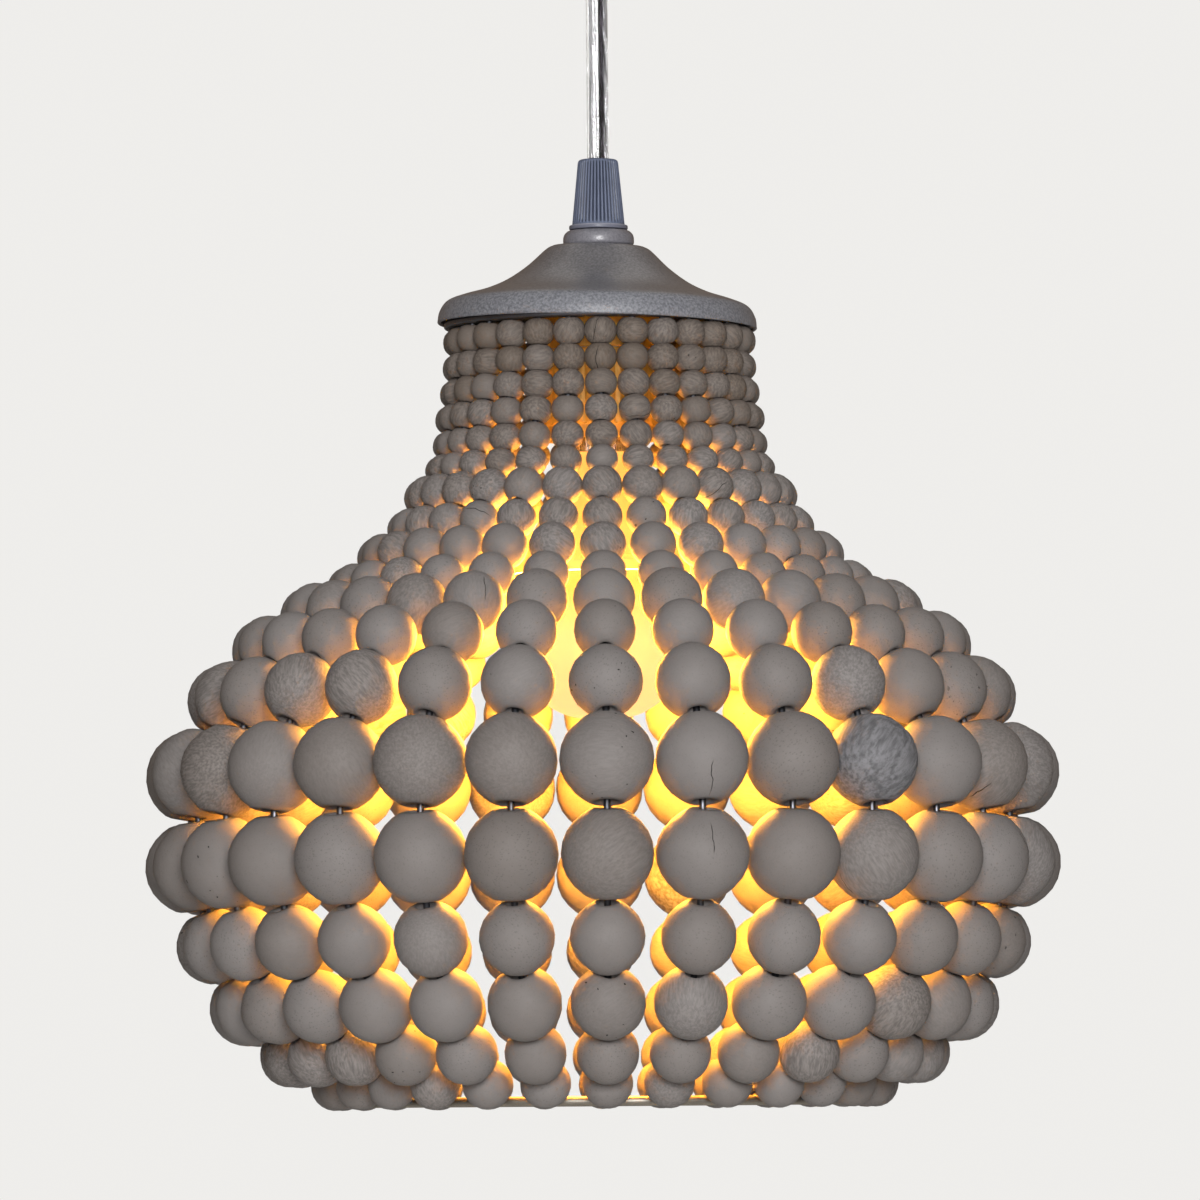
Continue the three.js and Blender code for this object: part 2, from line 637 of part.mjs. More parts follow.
// The strings stand evenly round the shade, the first at the front. Their wires end just short of
// the bottom hoop, which lies in line with their tails.
function addStrands() {
  const rows = strandRows();
  const geometry = strandGeometry(rows);
  for (let strand = 0; strand < STRANDS; strand += 1) {
    const name = `bead_strand_${String(strand + 1).padStart(2, '0')}`;
    const mesh = place(name, geometry, finishes.paintedWood);
    mesh.rotation.z = -Math.PI / 2 + (strand * 2 * Math.PI) / STRANDS;
  }

  const last = rows[rows.length - 1];
  const tail = last.centre.clone().sub(rows[rows.length - 2].centre).normalize();
  const reach = last.height / 2 + RIB_TAIL + FIT + BOTTOM_HOOP_WIRE / 2;
  const centre = last.centre.clone().addScaledVector(tail, reach);
  const section = Array.from({ length: HOOP_SIDES }, (unused, side) => {
    const angle = Math.atan2(tail.y, tail.x) + ((side + 0.5) * 2 * Math.PI) / HOOP_SIDES;
    const radius = BOTTOM_HOOP_WIRE / 2 / Math.cos(Math.PI / HOOP_SIDES);
    return [centre.x + radius * Math.cos(angle), centre.y + radius * Math.sin(angle)];
  });
  place('bottom_hoop', turned(section, WIDE_FACETS), finishes.steel);
}

// Lampholder: a brass dome and skirt round an insulator that carries the contacts and the sleeve.
function addHolder() {
  const radius = HOLDER_DIAMETER / 2;
  const crown = DOME_CROWN_DIAMETER / 2;
  place('holder_dome', turned([
    [nippleHole, domeTop],
    [crown, domeTop],
    [radius, domeTop - DOME_SHOULDER_DROP],
    [radius, domeFoot],
    [radius - HOLDER_WALL, domeFoot],
    [radius - HOLDER_WALL, domeTop - DOME_SHOULDER_DROP],
    [crown - HOLDER_WALL, domeTop - HOLDER_WALL],
    [nippleHole, domeTop - HOLDER_WALL],
  ]), finishes.brass);
  place('holder_skirt', ring(radius - HOLDER_WALL, radius, skirtFoot, skirtTop), finishes.brass);

  const screwPlaces = [-1, 1].map((side) => (side * TERMINAL_SCREW_SPACING) / 2);
  const holes = screwPlaces.map((x) => {
    const tool = bar(TERMINAL_SCREW_DIAMETER / 2 + FIT, insulatorTop - TERMINAL_SCREW_LENGTH - OVERRUN,
      insulatorTop + OVERRUN, FINE_FACETS);
    return tool.translate(x, 0, 0);
  });
  const insulator = bar(insulatorRadius, insulatorFoot, insulatorTop);
  place('holder_insulator', cut(insulator, holes), finishes.ceramic);
  screwPlaces.forEach((x, index) => {
    const geometry = screw(TERMINAL_SCREW_DIAMETER, TERMINAL_SCREW_LENGTH, TERMINAL_SCREW_HEAD_DIAMETER,
      TERMINAL_SCREW_HEAD_HEIGHT);
    place(`terminal_screw_${index + 1}`, geometry, finishes.brass).position.set(x, 0, insulatorTop + FIT);
  });

  const sleeveInner = BASE_DIAMETER / 2 + FIT;
  place('screw_sleeve', ring(sleeveInner, sleeveInner + SLEEVE_WALL, insulatorFoot - FIT - SLEEVE_HEIGHT,
    insulatorFoot - FIT), finishes.brass);
  place('centre_contact', bar(CONTACT_DIAMETER / 2, contactFoot, insulatorFoot - FIT, FINE_FACETS),
    finishes.brass);
}

// The lamp that screws into the holder, with its globe down.
function addBulb() {
  const baseRadius = BASE_DIAMETER / 2;
  const tipRadius = TIP_DIAMETER / 2;
  place('bulb_tip_contact', bar(tipRadius, coneTop + FIT, tipTop, FINE_FACETS), finishes.brass);
  place('bulb_base_insulator', turned([
    [0, coneTop],
    [tipRadius, coneTop],
    [baseRadius - BASE_SHELL, coneTop - BASE_CONE_HEIGHT],
    [0, coneTop - BASE_CONE_HEIGHT],
  ]), finishes.blackPlastic);
  place('bulb_screw_base', ring(baseRadius - BASE_SHELL, baseRadius, baseFoot, baseTop), finishes.steel);

  const globeRadius = GLOBE_DIAMETER / 2;
  const neck = HOUSING_NECK_DIAMETER / 2;
  const foot = globeRadius - HOUSING_INSET;
  const skin = HOUSING_PROFILE_SHARES.map(([out, up]) => [
    neck + out * (foot - neck), housingFoot + up * HOUSING_HEIGHT]);
  const lining = skin.slice(1).map(([radius, height]) => [radius - HOUSING_WALL, height]).reverse();
  place('bulb_housing', turned([[0, housingTop], ...skin, ...lining, [0, lining[lining.length - 1][1]]]),
    finishes.whitePlastic);
  const boardTop = housingFoot + BOARD_THICKNESS;
  place('led_board', bar(foot - HOUSING_WALL - FIT, housingFoot, boardTop), finishes.board);
  place('driver_board', block(DRIVER_WIDTH, BOARD_THICKNESS, DRIVER_HEIGHT,
    [0, 0, boardTop + FIT + DRIVER_HEIGHT / 2]), finishes.board);

  const globeFoot = globeTop - GLOBE_HEIGHT;
  const outside = GLOBE_PROFILE_SHARES.map(([out, up]) => [
    out * globeRadius, globeFoot + up * GLOBE_HEIGHT]);
  const inside = GLOBE_PROFILE_SHARES.map(([out, up]) => [
    out * (globeRadius - GLOBE_WALL), globeFoot + GLOBE_WALL + up * (GLOBE_HEIGHT - GLOBE_WALL)]);
  place('bulb_globe', turned([...outside, ...inside.reverse()]), finishes.opal);
}

addRose();
addCord();
addStack();
addCap();
addFrame();
addHolder();
addBulb();
addStrands();

export default lamp;
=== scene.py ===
# %% [markdown]
# # A hanging lamp of wooden beads
#
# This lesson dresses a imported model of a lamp: a shade of bored wooden beads threaded on stiff
# rib wires, under a spun metal cap, on a clear cord from a ceiling rose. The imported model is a
# fixed frame in metres, with +Z up and the viewer on the -Y side. Its solids say where everything
# is, and each cell below puts a finer shape or a finish in the same place.

# %% Load the frame
import math

import bmesh
import bpy
import numpy as np
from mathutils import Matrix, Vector


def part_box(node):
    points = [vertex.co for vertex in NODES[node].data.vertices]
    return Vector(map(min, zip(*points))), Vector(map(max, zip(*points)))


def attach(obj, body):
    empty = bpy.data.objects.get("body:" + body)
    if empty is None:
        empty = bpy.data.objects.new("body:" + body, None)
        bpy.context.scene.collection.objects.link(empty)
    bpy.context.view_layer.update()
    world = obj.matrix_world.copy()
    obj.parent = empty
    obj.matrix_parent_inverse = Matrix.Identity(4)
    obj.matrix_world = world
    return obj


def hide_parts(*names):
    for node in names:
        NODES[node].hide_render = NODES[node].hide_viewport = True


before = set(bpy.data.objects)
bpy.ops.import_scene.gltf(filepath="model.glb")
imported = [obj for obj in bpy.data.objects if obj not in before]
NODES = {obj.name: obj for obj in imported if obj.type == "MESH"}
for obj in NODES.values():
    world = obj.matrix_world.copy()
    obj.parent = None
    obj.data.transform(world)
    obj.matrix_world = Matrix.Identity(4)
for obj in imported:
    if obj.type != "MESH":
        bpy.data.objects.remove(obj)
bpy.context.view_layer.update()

MM = 0.001
UP = np.array([0, 0, 1])


def size_of(node):
    """Top, foot and outer radius of a turned solid, to the hundredth of a millimetre."""
    low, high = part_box(node)
    return [round(value, 5) for value in (high.z, low.z, high.x)]


# %% [markdown]
# ## The camera
#
# A photograph taken from far away with a long lens hardly tapers. Here the rows of beads near the
# bottom are seen edge on and the cap is seen from a little below, which puts the camera level with
# the foot of the shade. It stands 3.06 m off and is tilted up a little, so that the shade fills the
# picture and the foot lies near the lower edge. From half a degree to the left of the front
# string, it sees the far strings beside the near ones and not just behind them, and a slight roll
# leans the lamp's top to the left.

# %% Camera
PHOTO_WIDTH_PX, FOCAL_LENGTH_PX, HORIZON_BELOW_PX = 1200, 9190, 512.2
CAMERA_DISTANCE = 3.06
CAMERA_LEVEL = -0.4114
CAMERA_ASIDE = -0.0018
CAMERA_TILT = math.atan(HORIZON_BELOW_PX / FOCAL_LENGTH_PX)
CAMERA_TURN = math.radians(0.5)
CAMERA_ROLL = math.radians(0.45)

camera_data = bpy.data.cameras.new("camera")
camera_data.sensor_width = 36
camera_data.lens = camera_data.sensor_width * FOCAL_LENGTH_PX / PHOTO_WIDTH_PX
camera = bpy.data.objects.new("camera", camera_data)
camera.location = (CAMERA_ASIDE - CAMERA_DISTANCE * math.sin(CAMERA_TURN),
                   -CAMERA_DISTANCE * math.cos(CAMERA_TURN), CAMERA_LEVEL)
camera.rotation_euler = (math.pi / 2 + CAMERA_TILT, CAMERA_ROLL, -CAMERA_TURN)
bpy.context.scene.collection.objects.link(camera)
bpy.context.scene.camera = camera
print("lens:", round(camera_data.lens), "mm")

# %% [markdown]
# ## Surfaces from two parameters
#
# Nearly every piece of a lamp is turned on a lathe, drawn as wire, or moulded round an axis. Each
# can be written as a grid of points: one parameter runs along an outline or a path, the other runs
# round it. Working with whole arrays keeps each formula in one line, and the same few helpers then
# serve every piece.

# %% Grids of points
def grid_faces(rows, columns, close_rows):
    """The four-sided faces of a grid. Each joins a point, the next in its row, and the two that
    lie under them in the next row. Every row closes on itself, and a closed grid also joins its
    last row to its first."""
    row = np.arange(rows if close_rows else rows - 1)[:, None]
    column = np.arange(columns)[None, :]
    below, beside = (row + 1) % rows, (column + 1) % columns
    corners = (row * columns + column, row * columns + beside,
               below * columns + beside, below * columns + column)
    return np.stack(np.broadcast_arrays(*corners), axis=-1).reshape(-1, 4)


def copied_faces(copies, rows, columns, close_rows):
    """The faces of equal grids whose points follow each other in one list."""
    faces = grid_faces(rows, columns, close_rows)
    return (faces + rows * columns * np.arange(copies)[:, None, None]).reshape(-1, 4)


def new_piece(name, points, faces, sharp=40):
    """A mesh object at the origin from points and faces. Points that coincide are merged, which
    closes poles, and the faces are turned outwards. Edges sharper than the angle stay crisp."""
    mesh = bpy.data.meshes.new(name)
    mesh.from_pydata(points.reshape(-1, 3).tolist(), [], faces.tolist())
    work = bmesh.new()
    work.from_mesh(mesh)
    bmesh.ops.remove_doubles(work, verts=work.verts, dist=1e-7)
    bmesh.ops.dissolve_degenerate(work, edges=work.edges, dist=1e-8)
    bmesh.ops.recalc_face_normals(work, faces=work.faces)
    work.to_mesh(mesh)
    work.free()
    mesh.shade_smooth()
    mesh.set_sharp_from_angle(angle=math.radians(sharp))
    piece = bpy.data.objects.new(name, mesh)
    bpy.context.scene.collection.objects.link(piece)
    return piece


def grid_piece(name, points, close_rows=False, sharp=40):
    """One piece from one grid of points, given as rows, closed columns and coordinates."""
    return new_piece(name, points, grid_faces(*points.shape[:2], close_rows), sharp)


def store(mesh, name, values, vector=False):
    """Keeps a number or a vector for each point of a mesh, by a name that materials can read."""
    kind, field = ("FLOAT_VECTOR", "vector") if vector else ("FLOAT", "value")
    layer = mesh.attributes.new(name, kind, "POINT")
    layer.data.foreach_set(field, np.asarray(values, np.float32).ravel())


# %% Circles and directions
def angles(count):
    """One turn in equal steps, as a row."""
    return np.linspace(0, 2 * np.pi, count, endpoint=False)[None, :]


def wave(times_round, columns):
    """A row that rises from nought to one and falls back, so many times in one turn."""
    return 0.5 - 0.5 * np.cos(times_round * angles(columns))


def round_points(radius, level, u):
    """Points about the axis: at the angle u each is (radius cos u, radius sin u, level)."""
    return np.stack(np.broadcast_arrays(radius * np.cos(u), radius * np.sin(u), level), axis=-1)


def length(vectors):
    return np.linalg.norm(vectors, axis=-1, keepdims=True)


def unit(vectors):
    """Each vector divided by its own length."""
    return vectors / length(vectors)


def leaned(a, b, angle):
    """Two coordinates after a turn in their plane: a cos + b sin, and b cos - a sin."""
    return a * np.cos(angle) + b * np.sin(angle), b * np.cos(angle) - a * np.sin(angle)


# %% Outlines
def rounded(corners, radius, steps=5):
    """A closed outline with softened corners. Each corner becomes a short curve between the two
    points that lie one radius from it along its edges, bent towards the corner in between, so the
    weights of start, corner and end are (1 - t) squared, 2 t (1 - t) and t squared."""
    corners = np.asarray(corners, float)
    radius = np.broadcast_to(radius, len(corners))[:, None]
    edges = [np.roll(corners, way, axis=0) - corners for way in (1, -1)]
    start, end = (corners + unit(edge) * np.minimum(radius, length(edge) / 2.1) for edge in edges)
    t = np.linspace(0, 1, steps)[None, :, None]
    curve = ((1 - t) ** 2 * start[:, None] + 2 * t * (1 - t) * corners[:, None]
             + t ** 2 * end[:, None])
    return curve.reshape(-1, 2)


def smooth_line(points, steps):
    """A line that passes through every given point without a kink: between two points it is the
    cubic whose slope at each of them is half the way from the point before to the point after."""
    points = np.asarray(points, float)
    padded = np.vstack([2 * points[0] - points[1], points, 2 * points[-1] - points[-2]])
    a, b, c, d = (padded[i:len(padded) - 3 + i, None] for i in range(4))
    t = np.linspace(0, 1, steps, endpoint=False)[None, :, None]
    line = 0.5 * (2 * b + (c - a) * t + (2 * a - 5 * b + 4 * c - d) * t ** 2
                  + (3 * b - a - 3 * c + d) * t ** 3)
    return np.vstack([line.reshape(-1, points.shape[1]), points[-1:]])


def turned(name, outline, columns=96, on_axis=False, sharp=40, cut=0.0):
    """A lathe piece: each point of the outline (radius, height) becomes a circle. A cut makes the
    radius smaller at each point of the grid, for ribs and slots. An outline that starts and ends
    on the axis closes at its poles."""
    outline = np.asarray(outline, float)
    points = round_points(outline[:, :1] - cut, outline[:, 1:], angles(columns))
    return grid_piece(name, points, close_rows=not on_axis, sharp=sharp)


def wire_points(path, radius, sides, across, closed=False):
    """The skin of a round wire as a grid: at each point of the path stands a circle in the plane
    across it, spanned by the given direction and the one square to that and to the path. An open
    wire starts and ends in a point, which makes its flat ends."""
    path = np.asarray(path, float)
    if closed:
        along = np.roll(path, -1, axis=0) - np.roll(path, 1, axis=0)
    else:
        along = np.gradient(path, axis=0)
    across = np.broadcast_to(across, path.shape)
    third = unit(np.cross(unit(along), across))
    u = angles(sides)[..., None]
    skin = path[:, None] + radius * (np.cos(u) * across[:, None] + np.sin(u) * third[:, None])
    if closed:
        return skin
    first, last = (np.broadcast_to(end, (1, sides, 3)) for end in (path[0], path[-1]))
    return np.concatenate([first, skin, last])


def hoop(name, radius, level, wire):
    """A ring of round wire, whose centre line is a circle at one level."""
    u = angles(112)
    path, outward = round_points(radius, level, u)[0], round_points(1, 0, u)[0]
    return grid_piece(name, wire_points(path, wire / 2, 16, outward, closed=True), True)


def dress(piece, body, slot, finish, *nodes):
    """Gives a piece its finish and the CAD body that it moves with. The slot is not used."""
    piece.data.materials.append(finish)
    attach(piece, body)
    if nodes:
        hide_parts(*nodes)
    print(piece.name, len(piece.data.polygons), "faces")
    return piece


# %% [markdown]
# ## Finishes from nodes
#
# No picture files are used. A finish starts from the shader's own plain values, and noise adds what
# a real surface has: patches that are a little lighter or darker, fine stipple, or the lines that
# drawing, turning or wood fibre leave. Those three effects serve several materials, so each is a
# node group that is built once. A socket knows the tree it belongs to, so a helper that is handed
# one puts its new node in the same tree.

# %% Node helpers
def add_node(near, kind, **settings):
    """A new node in the tree that the given tree, node or socket belongs to."""
    node = near.id_data.nodes.new(kind)
    for key, value in settings.items():
        setattr(node, key, value)
    return node


def is_socket(value):
    return isinstance(value, bpy.types.NodeSocket)


def connect(value, socket):
    """Links a socket, or sets a plain number or colour. A colour may leave out its alpha."""
    if is_socket(value):
        socket.id_data.links.new(value, socket)
    elif socket.type == "RGBA":
        socket.default_value = (*value[:3], 1)
    else:
        socket.default_value = value


def feed(node, **values):
    """Connects values to a node's inputs by their names, with an underscore for each blank."""
    for label, value in values.items():
        connect(value, node.inputs[label.replace("_", " ")])
    return node


def calculate(operation, a, b=0.0, clamp=False):
    """A step of arithmetic. The first value is a socket, the second a socket or a number."""
    node = add_node(a, "ShaderNodeMath", operation=operation, use_clamp=clamp)
    connect(a, node.inputs[0])
    connect(b, node.inputs[1])
    return node.outputs[0]


def times(a, b):
    return calculate("MULTIPLY", a, b)


def plus(a, b):
    return calculate("ADD", a, b)


def minus(a, b):
    return calculate("SUBTRACT", a, b)


def larger(a, b):
    return calculate("MAXIMUM", a, b)


def remap(value, low, high, new_low=0.0, new_high=1.0):
    """A value between low and high becomes one between the new ends, and never leaves them."""
    node = add_node(value, "ShaderNodeMapRange", interpolation_type="SMOOTHSTEP")
    for socket, given in zip(node.inputs, (value, low, high, new_low, new_high)):
        connect(given, socket)
    return node.outputs[0]


def blend_colours(share, a, b, how="MIX"):
    """The colour a share of the way from a to b, or from a to another blend of the two."""
    node = add_node(share if is_socket(share) else b, "ShaderNodeMix", data_type="RGBA",
                    blend_type=how)
    for place, given in ((0, share), (6, a), (7, b)):
        connect(given, node.inputs[place])
    return node.outputs[2]


def tint(colour, factor):
    """A colour multiplied by a number that varies over the surface."""
    return blend_colours(1.0, colour, factor, "MULTIPLY")


def stretched(vector, factors):
    node = add_node(vector, "ShaderNodeVectorMath", operation="MULTIPLY")
    connect(vector, node.inputs[0])
    connect(factors, node.inputs[1])
    return node.outputs[0]


def split(vector):
    """The three coordinates of a vector, as sockets."""
    node = add_node(vector, "ShaderNodeSeparateXYZ")
    connect(vector, node.inputs[0])
    return node.outputs


def place_of(shader):
    return add_node(shader, "ShaderNodeTexCoord").outputs["Object"]


def attribute(shader, name, output="Vector"):
    return add_node(shader, "ShaderNodeAttribute", attribute_name=name).outputs[output]


def noise_in(vector, seed, scale, detail):
    """Four-dimensional noise: three for the place, and the fourth so that two pieces at the same
    place in their own space don't share one pattern."""
    noise = add_node(vector, "ShaderNodeTexNoise", noise_dimensions="4D")
    return feed(noise, Vector=vector, W=seed, Scale=scale, Detail=detail).outputs["Fac"]


# %% Node groups
def new_group(name, output, **inputs):
    """An empty group with a vector input, the named number inputs and one number output. Returns
    the group, the sockets that bring its inputs, and the socket that takes its result."""
    group = bpy.data.node_groups.new(name, "ShaderNodeTree")
    sockets = group.interface
    sockets.new_socket(name="Vector", in_out="INPUT", socket_type="NodeSocketVector")
    for label, value in inputs.items():
        sockets.new_socket(name=label, in_out="INPUT",
                           socket_type="NodeSocketFloat").default_value = value
    sockets.new_socket(name=output, in_out="OUTPUT", socket_type="NodeSocketFloat")
    given, result = add_node(group, "NodeGroupInput"), add_node(group, "NodeGroupOutput")
    return group, list(given.outputs)[:-1], result.inputs[0]


def mottle_group():
    """Soft patches: a number round one that strays by up to the amount either way."""
    group, given, result = new_group("soft_mottle", "Factor", Seed=0, Scale=40, Amount=0.1)
    vector, seed, scale, amount = given
    stray = times(minus(noise_in(vector, seed, scale, 3), 0.5), 4.0)
    connect(plus(times(stray, amount), 1.0), result)
    return group


def stipple_group():
    """Fine grain: two sizes of noise, the smaller at a third of the strength, as a height."""
    group, given, result = new_group("fine_stipple", "Height", Seed=0, Scale=900)
    vector, seed, scale = given
    fine = noise_in(vector, seed, times(scale, 2.7), 1)
    height = plus(times(fine, 0.33), noise_in(vector, seed, scale, 1))
    connect(remap(height, 0.35, 0.98), result)
    return group


def lines_group():
    """Fine lines: noise in a space that is squeezed along Z, so each spot becomes a long streak.
    It suits wood fibre, brushed metal and drawn wire."""
    group, given, result = new_group("fine_lines", "Height", Seed=0, Scale=1200, Reach=0.06)
    vector, seed, scale, reach = given
    squeeze = add_node(group, "ShaderNodeCombineXYZ")
    for socket, share in zip(squeeze.inputs, (1.0, 1.0, reach)):
        connect(share, socket)
    noise = noise_in(stretched(vector, squeeze.outputs[0]), seed, scale, 2)
    connect(remap(noise, 0.3, 0.7), result)
    return group


MOTTLE, STIPPLE, LINES = mottle_group(), stipple_group(), lines_group()
print("groups:", [group.name for group in (MOTTLE, STIPPLE, LINES)])


# %% Steps that finishes share
def use_group(group, vector, **values):
    """Places a group in a material and gives it its own values."""
    node = add_node(vector, "ShaderNodeGroup", node_tree=group)
    return feed(node, Vector=vector, **values).outputs[0]


def new_finish(name, colour, roughness, metallic=0.0, **sockets):
    """A material with a plain shader. Uniform values go straight on the shader's own sockets."""
    finish = bpy.data.materials.new(name)
    finish.use_nodes = True
    shader = finish.node_tree.nodes["Principled BSDF"]
    feed(shader, Base_Color=colour, Roughness=roughness, Metallic=metallic, **sockets)
    return finish, shader


def patchy(shader, colour, scale, amount):
    """Gives the shader a colour with soft patches that are a little lighter or darker."""
    patches = use_group(MOTTLE, place_of(shader), Scale=scale, Amount=amount)
    feed(shader, Base_Color=tint(colour, patches))


def vary_roughness(shader, height, low, high):
    """Roughness that goes from one value in the hollows to another on the tops."""
    feed(shader, Roughness=remap(height, 0, 1, low, high))


def relief(shader, height, distance, strength=1.0):
    """Tilts the surface as if the height stood out by the distance."""
    bump = add_node(shader, "ShaderNodeBump")
    feed(bump, Strength=strength, Distance=distance, Height=height)
    feed(shader, Normal=bump.outputs["Normal"])


# %% [markdown]
# ## The cord
#
# The lamp hangs on clear flexible cable: two conductors of tinned copper strands in a glassy
# sheath. Its top end goes into the ceiling rose, just above the picture, and its own weight counts
# for nothing beside the shade's pull, so it is straight. The sheath is a tube of see-through
# plastic, and each conductor is a rod with a twisted skin.

# %% Finishes of the cord
def clear_sheath_finish():
    clear = (0.93, 0.93, 0.92)
    finish, shader = new_finish("clear_sheath", clear, 0.06, IOR=1.4, Transmission_Weight=1.0)
    patchy(shader, clear, 90, 0.02)
    relief(shader, use_group(LINES, place_of(shader), Scale=420, Reach=0.05), 0.06 * MM)
    return finish


def tinned_copper_finish():
    """Bright wire with painted shade in its furrows: the attribute is one where a strand is open to
    the light, and falls to zero between strands and where the two bundles face each other, and
    there the colour goes nearly black."""
    finish, shader = new_finish("tinned_copper", (0.6, 0.6, 0.63), 0.22, 1.0)
    place = place_of(shader)
    patches = remap(use_group(LINES, place, Scale=900, Reach=0.07), 0, 1, 0.62, 1.0)
    strand = remap(attribute(shader, "painted_light_share", "Fac"), 0.15, 0.6)
    # Painted shade: the colour is nearly black where the attribute says little light reaches.
    base = blend_colours(strand, (0.02, 0.018, 0.022), (0.74, 0.74, 0.77))
    feed(shader, Base_Color=tint(base, patches))
    relief(shader, use_group(LINES, place, Scale=2600, Reach=0.16), 0.07 * MM)
    return finish


SHEATH, TINNED = clear_sheath_finish(), tinned_copper_finish()

# %% The cord's sheath and conductors
CORD_TOP, CORD_FOOT, CORD_RADIUS = size_of("free_cord")
CONDUCTOR_RADIUS, CONDUCTOR_ASIDE = 1.5 * MM, 1.5 * MM
CONDUCTOR_INSET, TWIST_LENGTH, STRANDS_EACH = 0.1 * MM, 160 * MM, 7

heights = np.linspace(CORD_TOP, CORD_FOOT, 24)
cord_path = np.stack([0 * heights, 0 * heights, heights], axis=-1)


def conductor(name, side):
    """A bundle of seven strands: its radius swells seven times round it, and the swells turn slowly
    and unevenly as they go down, by one turn for each 160 mm. The two bundles wind about each
    other, and in this short length the left one lies in front. How open a point is to the light
    falls with the cosine of its angle to the other bundle and between the swells; it is stored for
    the finish, which paints shade where it is low."""
    level = np.linspace(CORD_TOP - CONDUCTOR_INSET, CORD_FOOT + CONDUCTOR_INSET, 150)[:, None]
    u = angles(70)
    wind = 0.8 + 0.16 * np.sin((level - CORD_FOOT) / (22 * MM))
    uneven = 0.12 * np.sin(level / (4.7 * MM)) + 0.08 * np.sin(level / (2.1 * MM))
    twist = 2 * np.pi * level / TWIST_LENGTH + uneven
    swell = np.abs(np.cos(STRANDS_EACH / 2 * (u + twist)))
    radius = CONDUCTOR_RADIUS * (0.93 + 0.07 * swell)
    facing = wind + (0 if side < 0 else np.pi)
    openness = np.clip(1.3 * (0.5 - 0.5 * np.cos(u - facing)) - 0.1, 0, 1) * (0.5 + 0.5 * swell)
    skin = round_points(radius, level, u) + round_points(side * CONDUCTOR_ASIDE, 0, wind)
    piece = grid_piece(name, skin, sharp=180)
    store(piece.data, "painted_light_share", openness)
    return piece


conductors = [conductor("conductor_1", -1), conductor("conductor_2", 1)]
for piece in conductors:
    dress(piece, "cord", "clear_sheath", TINNED)
sheath = grid_piece("cord_sheath", wire_points(cord_path, CORD_RADIUS, 40, (1.0, 0.0, 0.0)),
                    sharp=60)
dress(sheath, "cord", "clear_sheath", SHEATH, "free_cord")

# %% [markdown]
# ## Grip and collar
#
# A moulded grip clamps the cord. It tapers, stands on a thin flange, and has fine ribs to turn it
# by. The ribs are what a wave cut from the radius leaves, forty to the turn, and they die out at
# both ends. The collar under it is a plain turned ring with a rounded edge. Both are closed
# outlines, so they keep their bores.

# %% Sizes and colour of grip and collar
GRIP_TOP, GRIP_FOOT, GRIP_RADIUS = size_of("cord_grip")
COLLAR_TOP, COLLAR_FOOT, COLLAR_RADIUS = size_of("collar")
GRIP_NECK, GRIP_WAIST = 6.65 * MM, 8.8 * MM
FLANGE_TOP, NIPPLE_END = GRIP_FOOT + 1.5 * MM, GRIP_FOOT + 9 * MM
RIBS, RIB_DEPTH = 40, 0.5 * MM
GRIP_BLUE, GRIP_ROUGHNESS = (0.104, 0.128, 0.2), 0.42
NIPPLE_HOLE, CORD_BORE = 5.3 * MM, 3.9 * MM


# %% Finishes of moulded and enamelled pieces
def moulded_finish(name, colour, roughness, scale=700):
    """Moulded plastic or ceramic, with a fine stipple."""
    finish, shader = new_finish(name, colour, roughness)
    patchy(shader, colour, 70, 0.06)
    grain = use_group(STIPPLE, place_of(shader), Scale=scale)
    vary_roughness(shader, grain, roughness - 0.05, roughness + 0.08)
    relief(shader, grain, 0.03 * MM, 0.6)
    return finish


def enamel_finish(name, colour, hollow_shade, roughness):
    """Satin enamel: a coat with a fine stipple, with painted shade in its hollows."""
    finish, shader = new_finish(name, colour, roughness, Coat_Weight=0.4, Coat_Roughness=0.22)
    grain = use_group(STIPPLE, place_of(shader), Scale=1500)
    # Painted shade: the stipple's hollows take the darker colour.
    patchy(shader, blend_colours(grain, hollow_shade, colour), 60, 0.09)
    vary_roughness(shader, grain, roughness + 0.1, roughness - 0.05)
    relief(shader, grain, 0.04 * MM, 0.7)
    return finish


def grip_finish():
    """Blue-grey moulded plastic. Its flange is the paler grey of the collar, with a paler upper
    edge, and the furrows between the ribs get painted shade while their crests get a painted
    highlight."""
    finish, shader = new_finish("rib_plastic", GRIP_BLUE, GRIP_ROUGHNESS)
    height = split(place_of(shader))[2]
    crest = remap(attribute(shader, "rib_height", "Fac"), 0.2, 0.95)
    # Painted shade in the furrows and painted highlight on the crests, read from the rib height.
    ribs = blend_colours(crest, (0.047, 0.058, 0.092), (0.172, 0.204, 0.305))
    flange = remap(height, FLANGE_TOP - 0.1 * MM, FLANGE_TOP + 0.2 * MM, 1.0, 0.0)
    base = blend_colours(flange, ribs, (0.215, 0.222, 0.285))
    pale_upper_edge = times(remap(height, FLANGE_TOP - 0.5 * MM, FLANGE_TOP - 0.2 * MM), flange)
    patchy(shader, blend_colours(pale_upper_edge, base, (0.42, 0.43, 0.50)), 170, 0.09)
    grain = use_group(STIPPLE, place_of(shader), Scale=1400)
    vary_roughness(shader, grain, 0.38, 0.52)
    relief(shader, grain, 0.03 * MM, 0.6)
    return finish


GRIP_PLASTIC = moulded_finish("grip_plastic", GRIP_BLUE, GRIP_ROUGHNESS)
ENAMEL = enamel_finish("grey_enamel", (0.33, 0.322, 0.362), (0.215, 0.21, 0.235), 0.38)


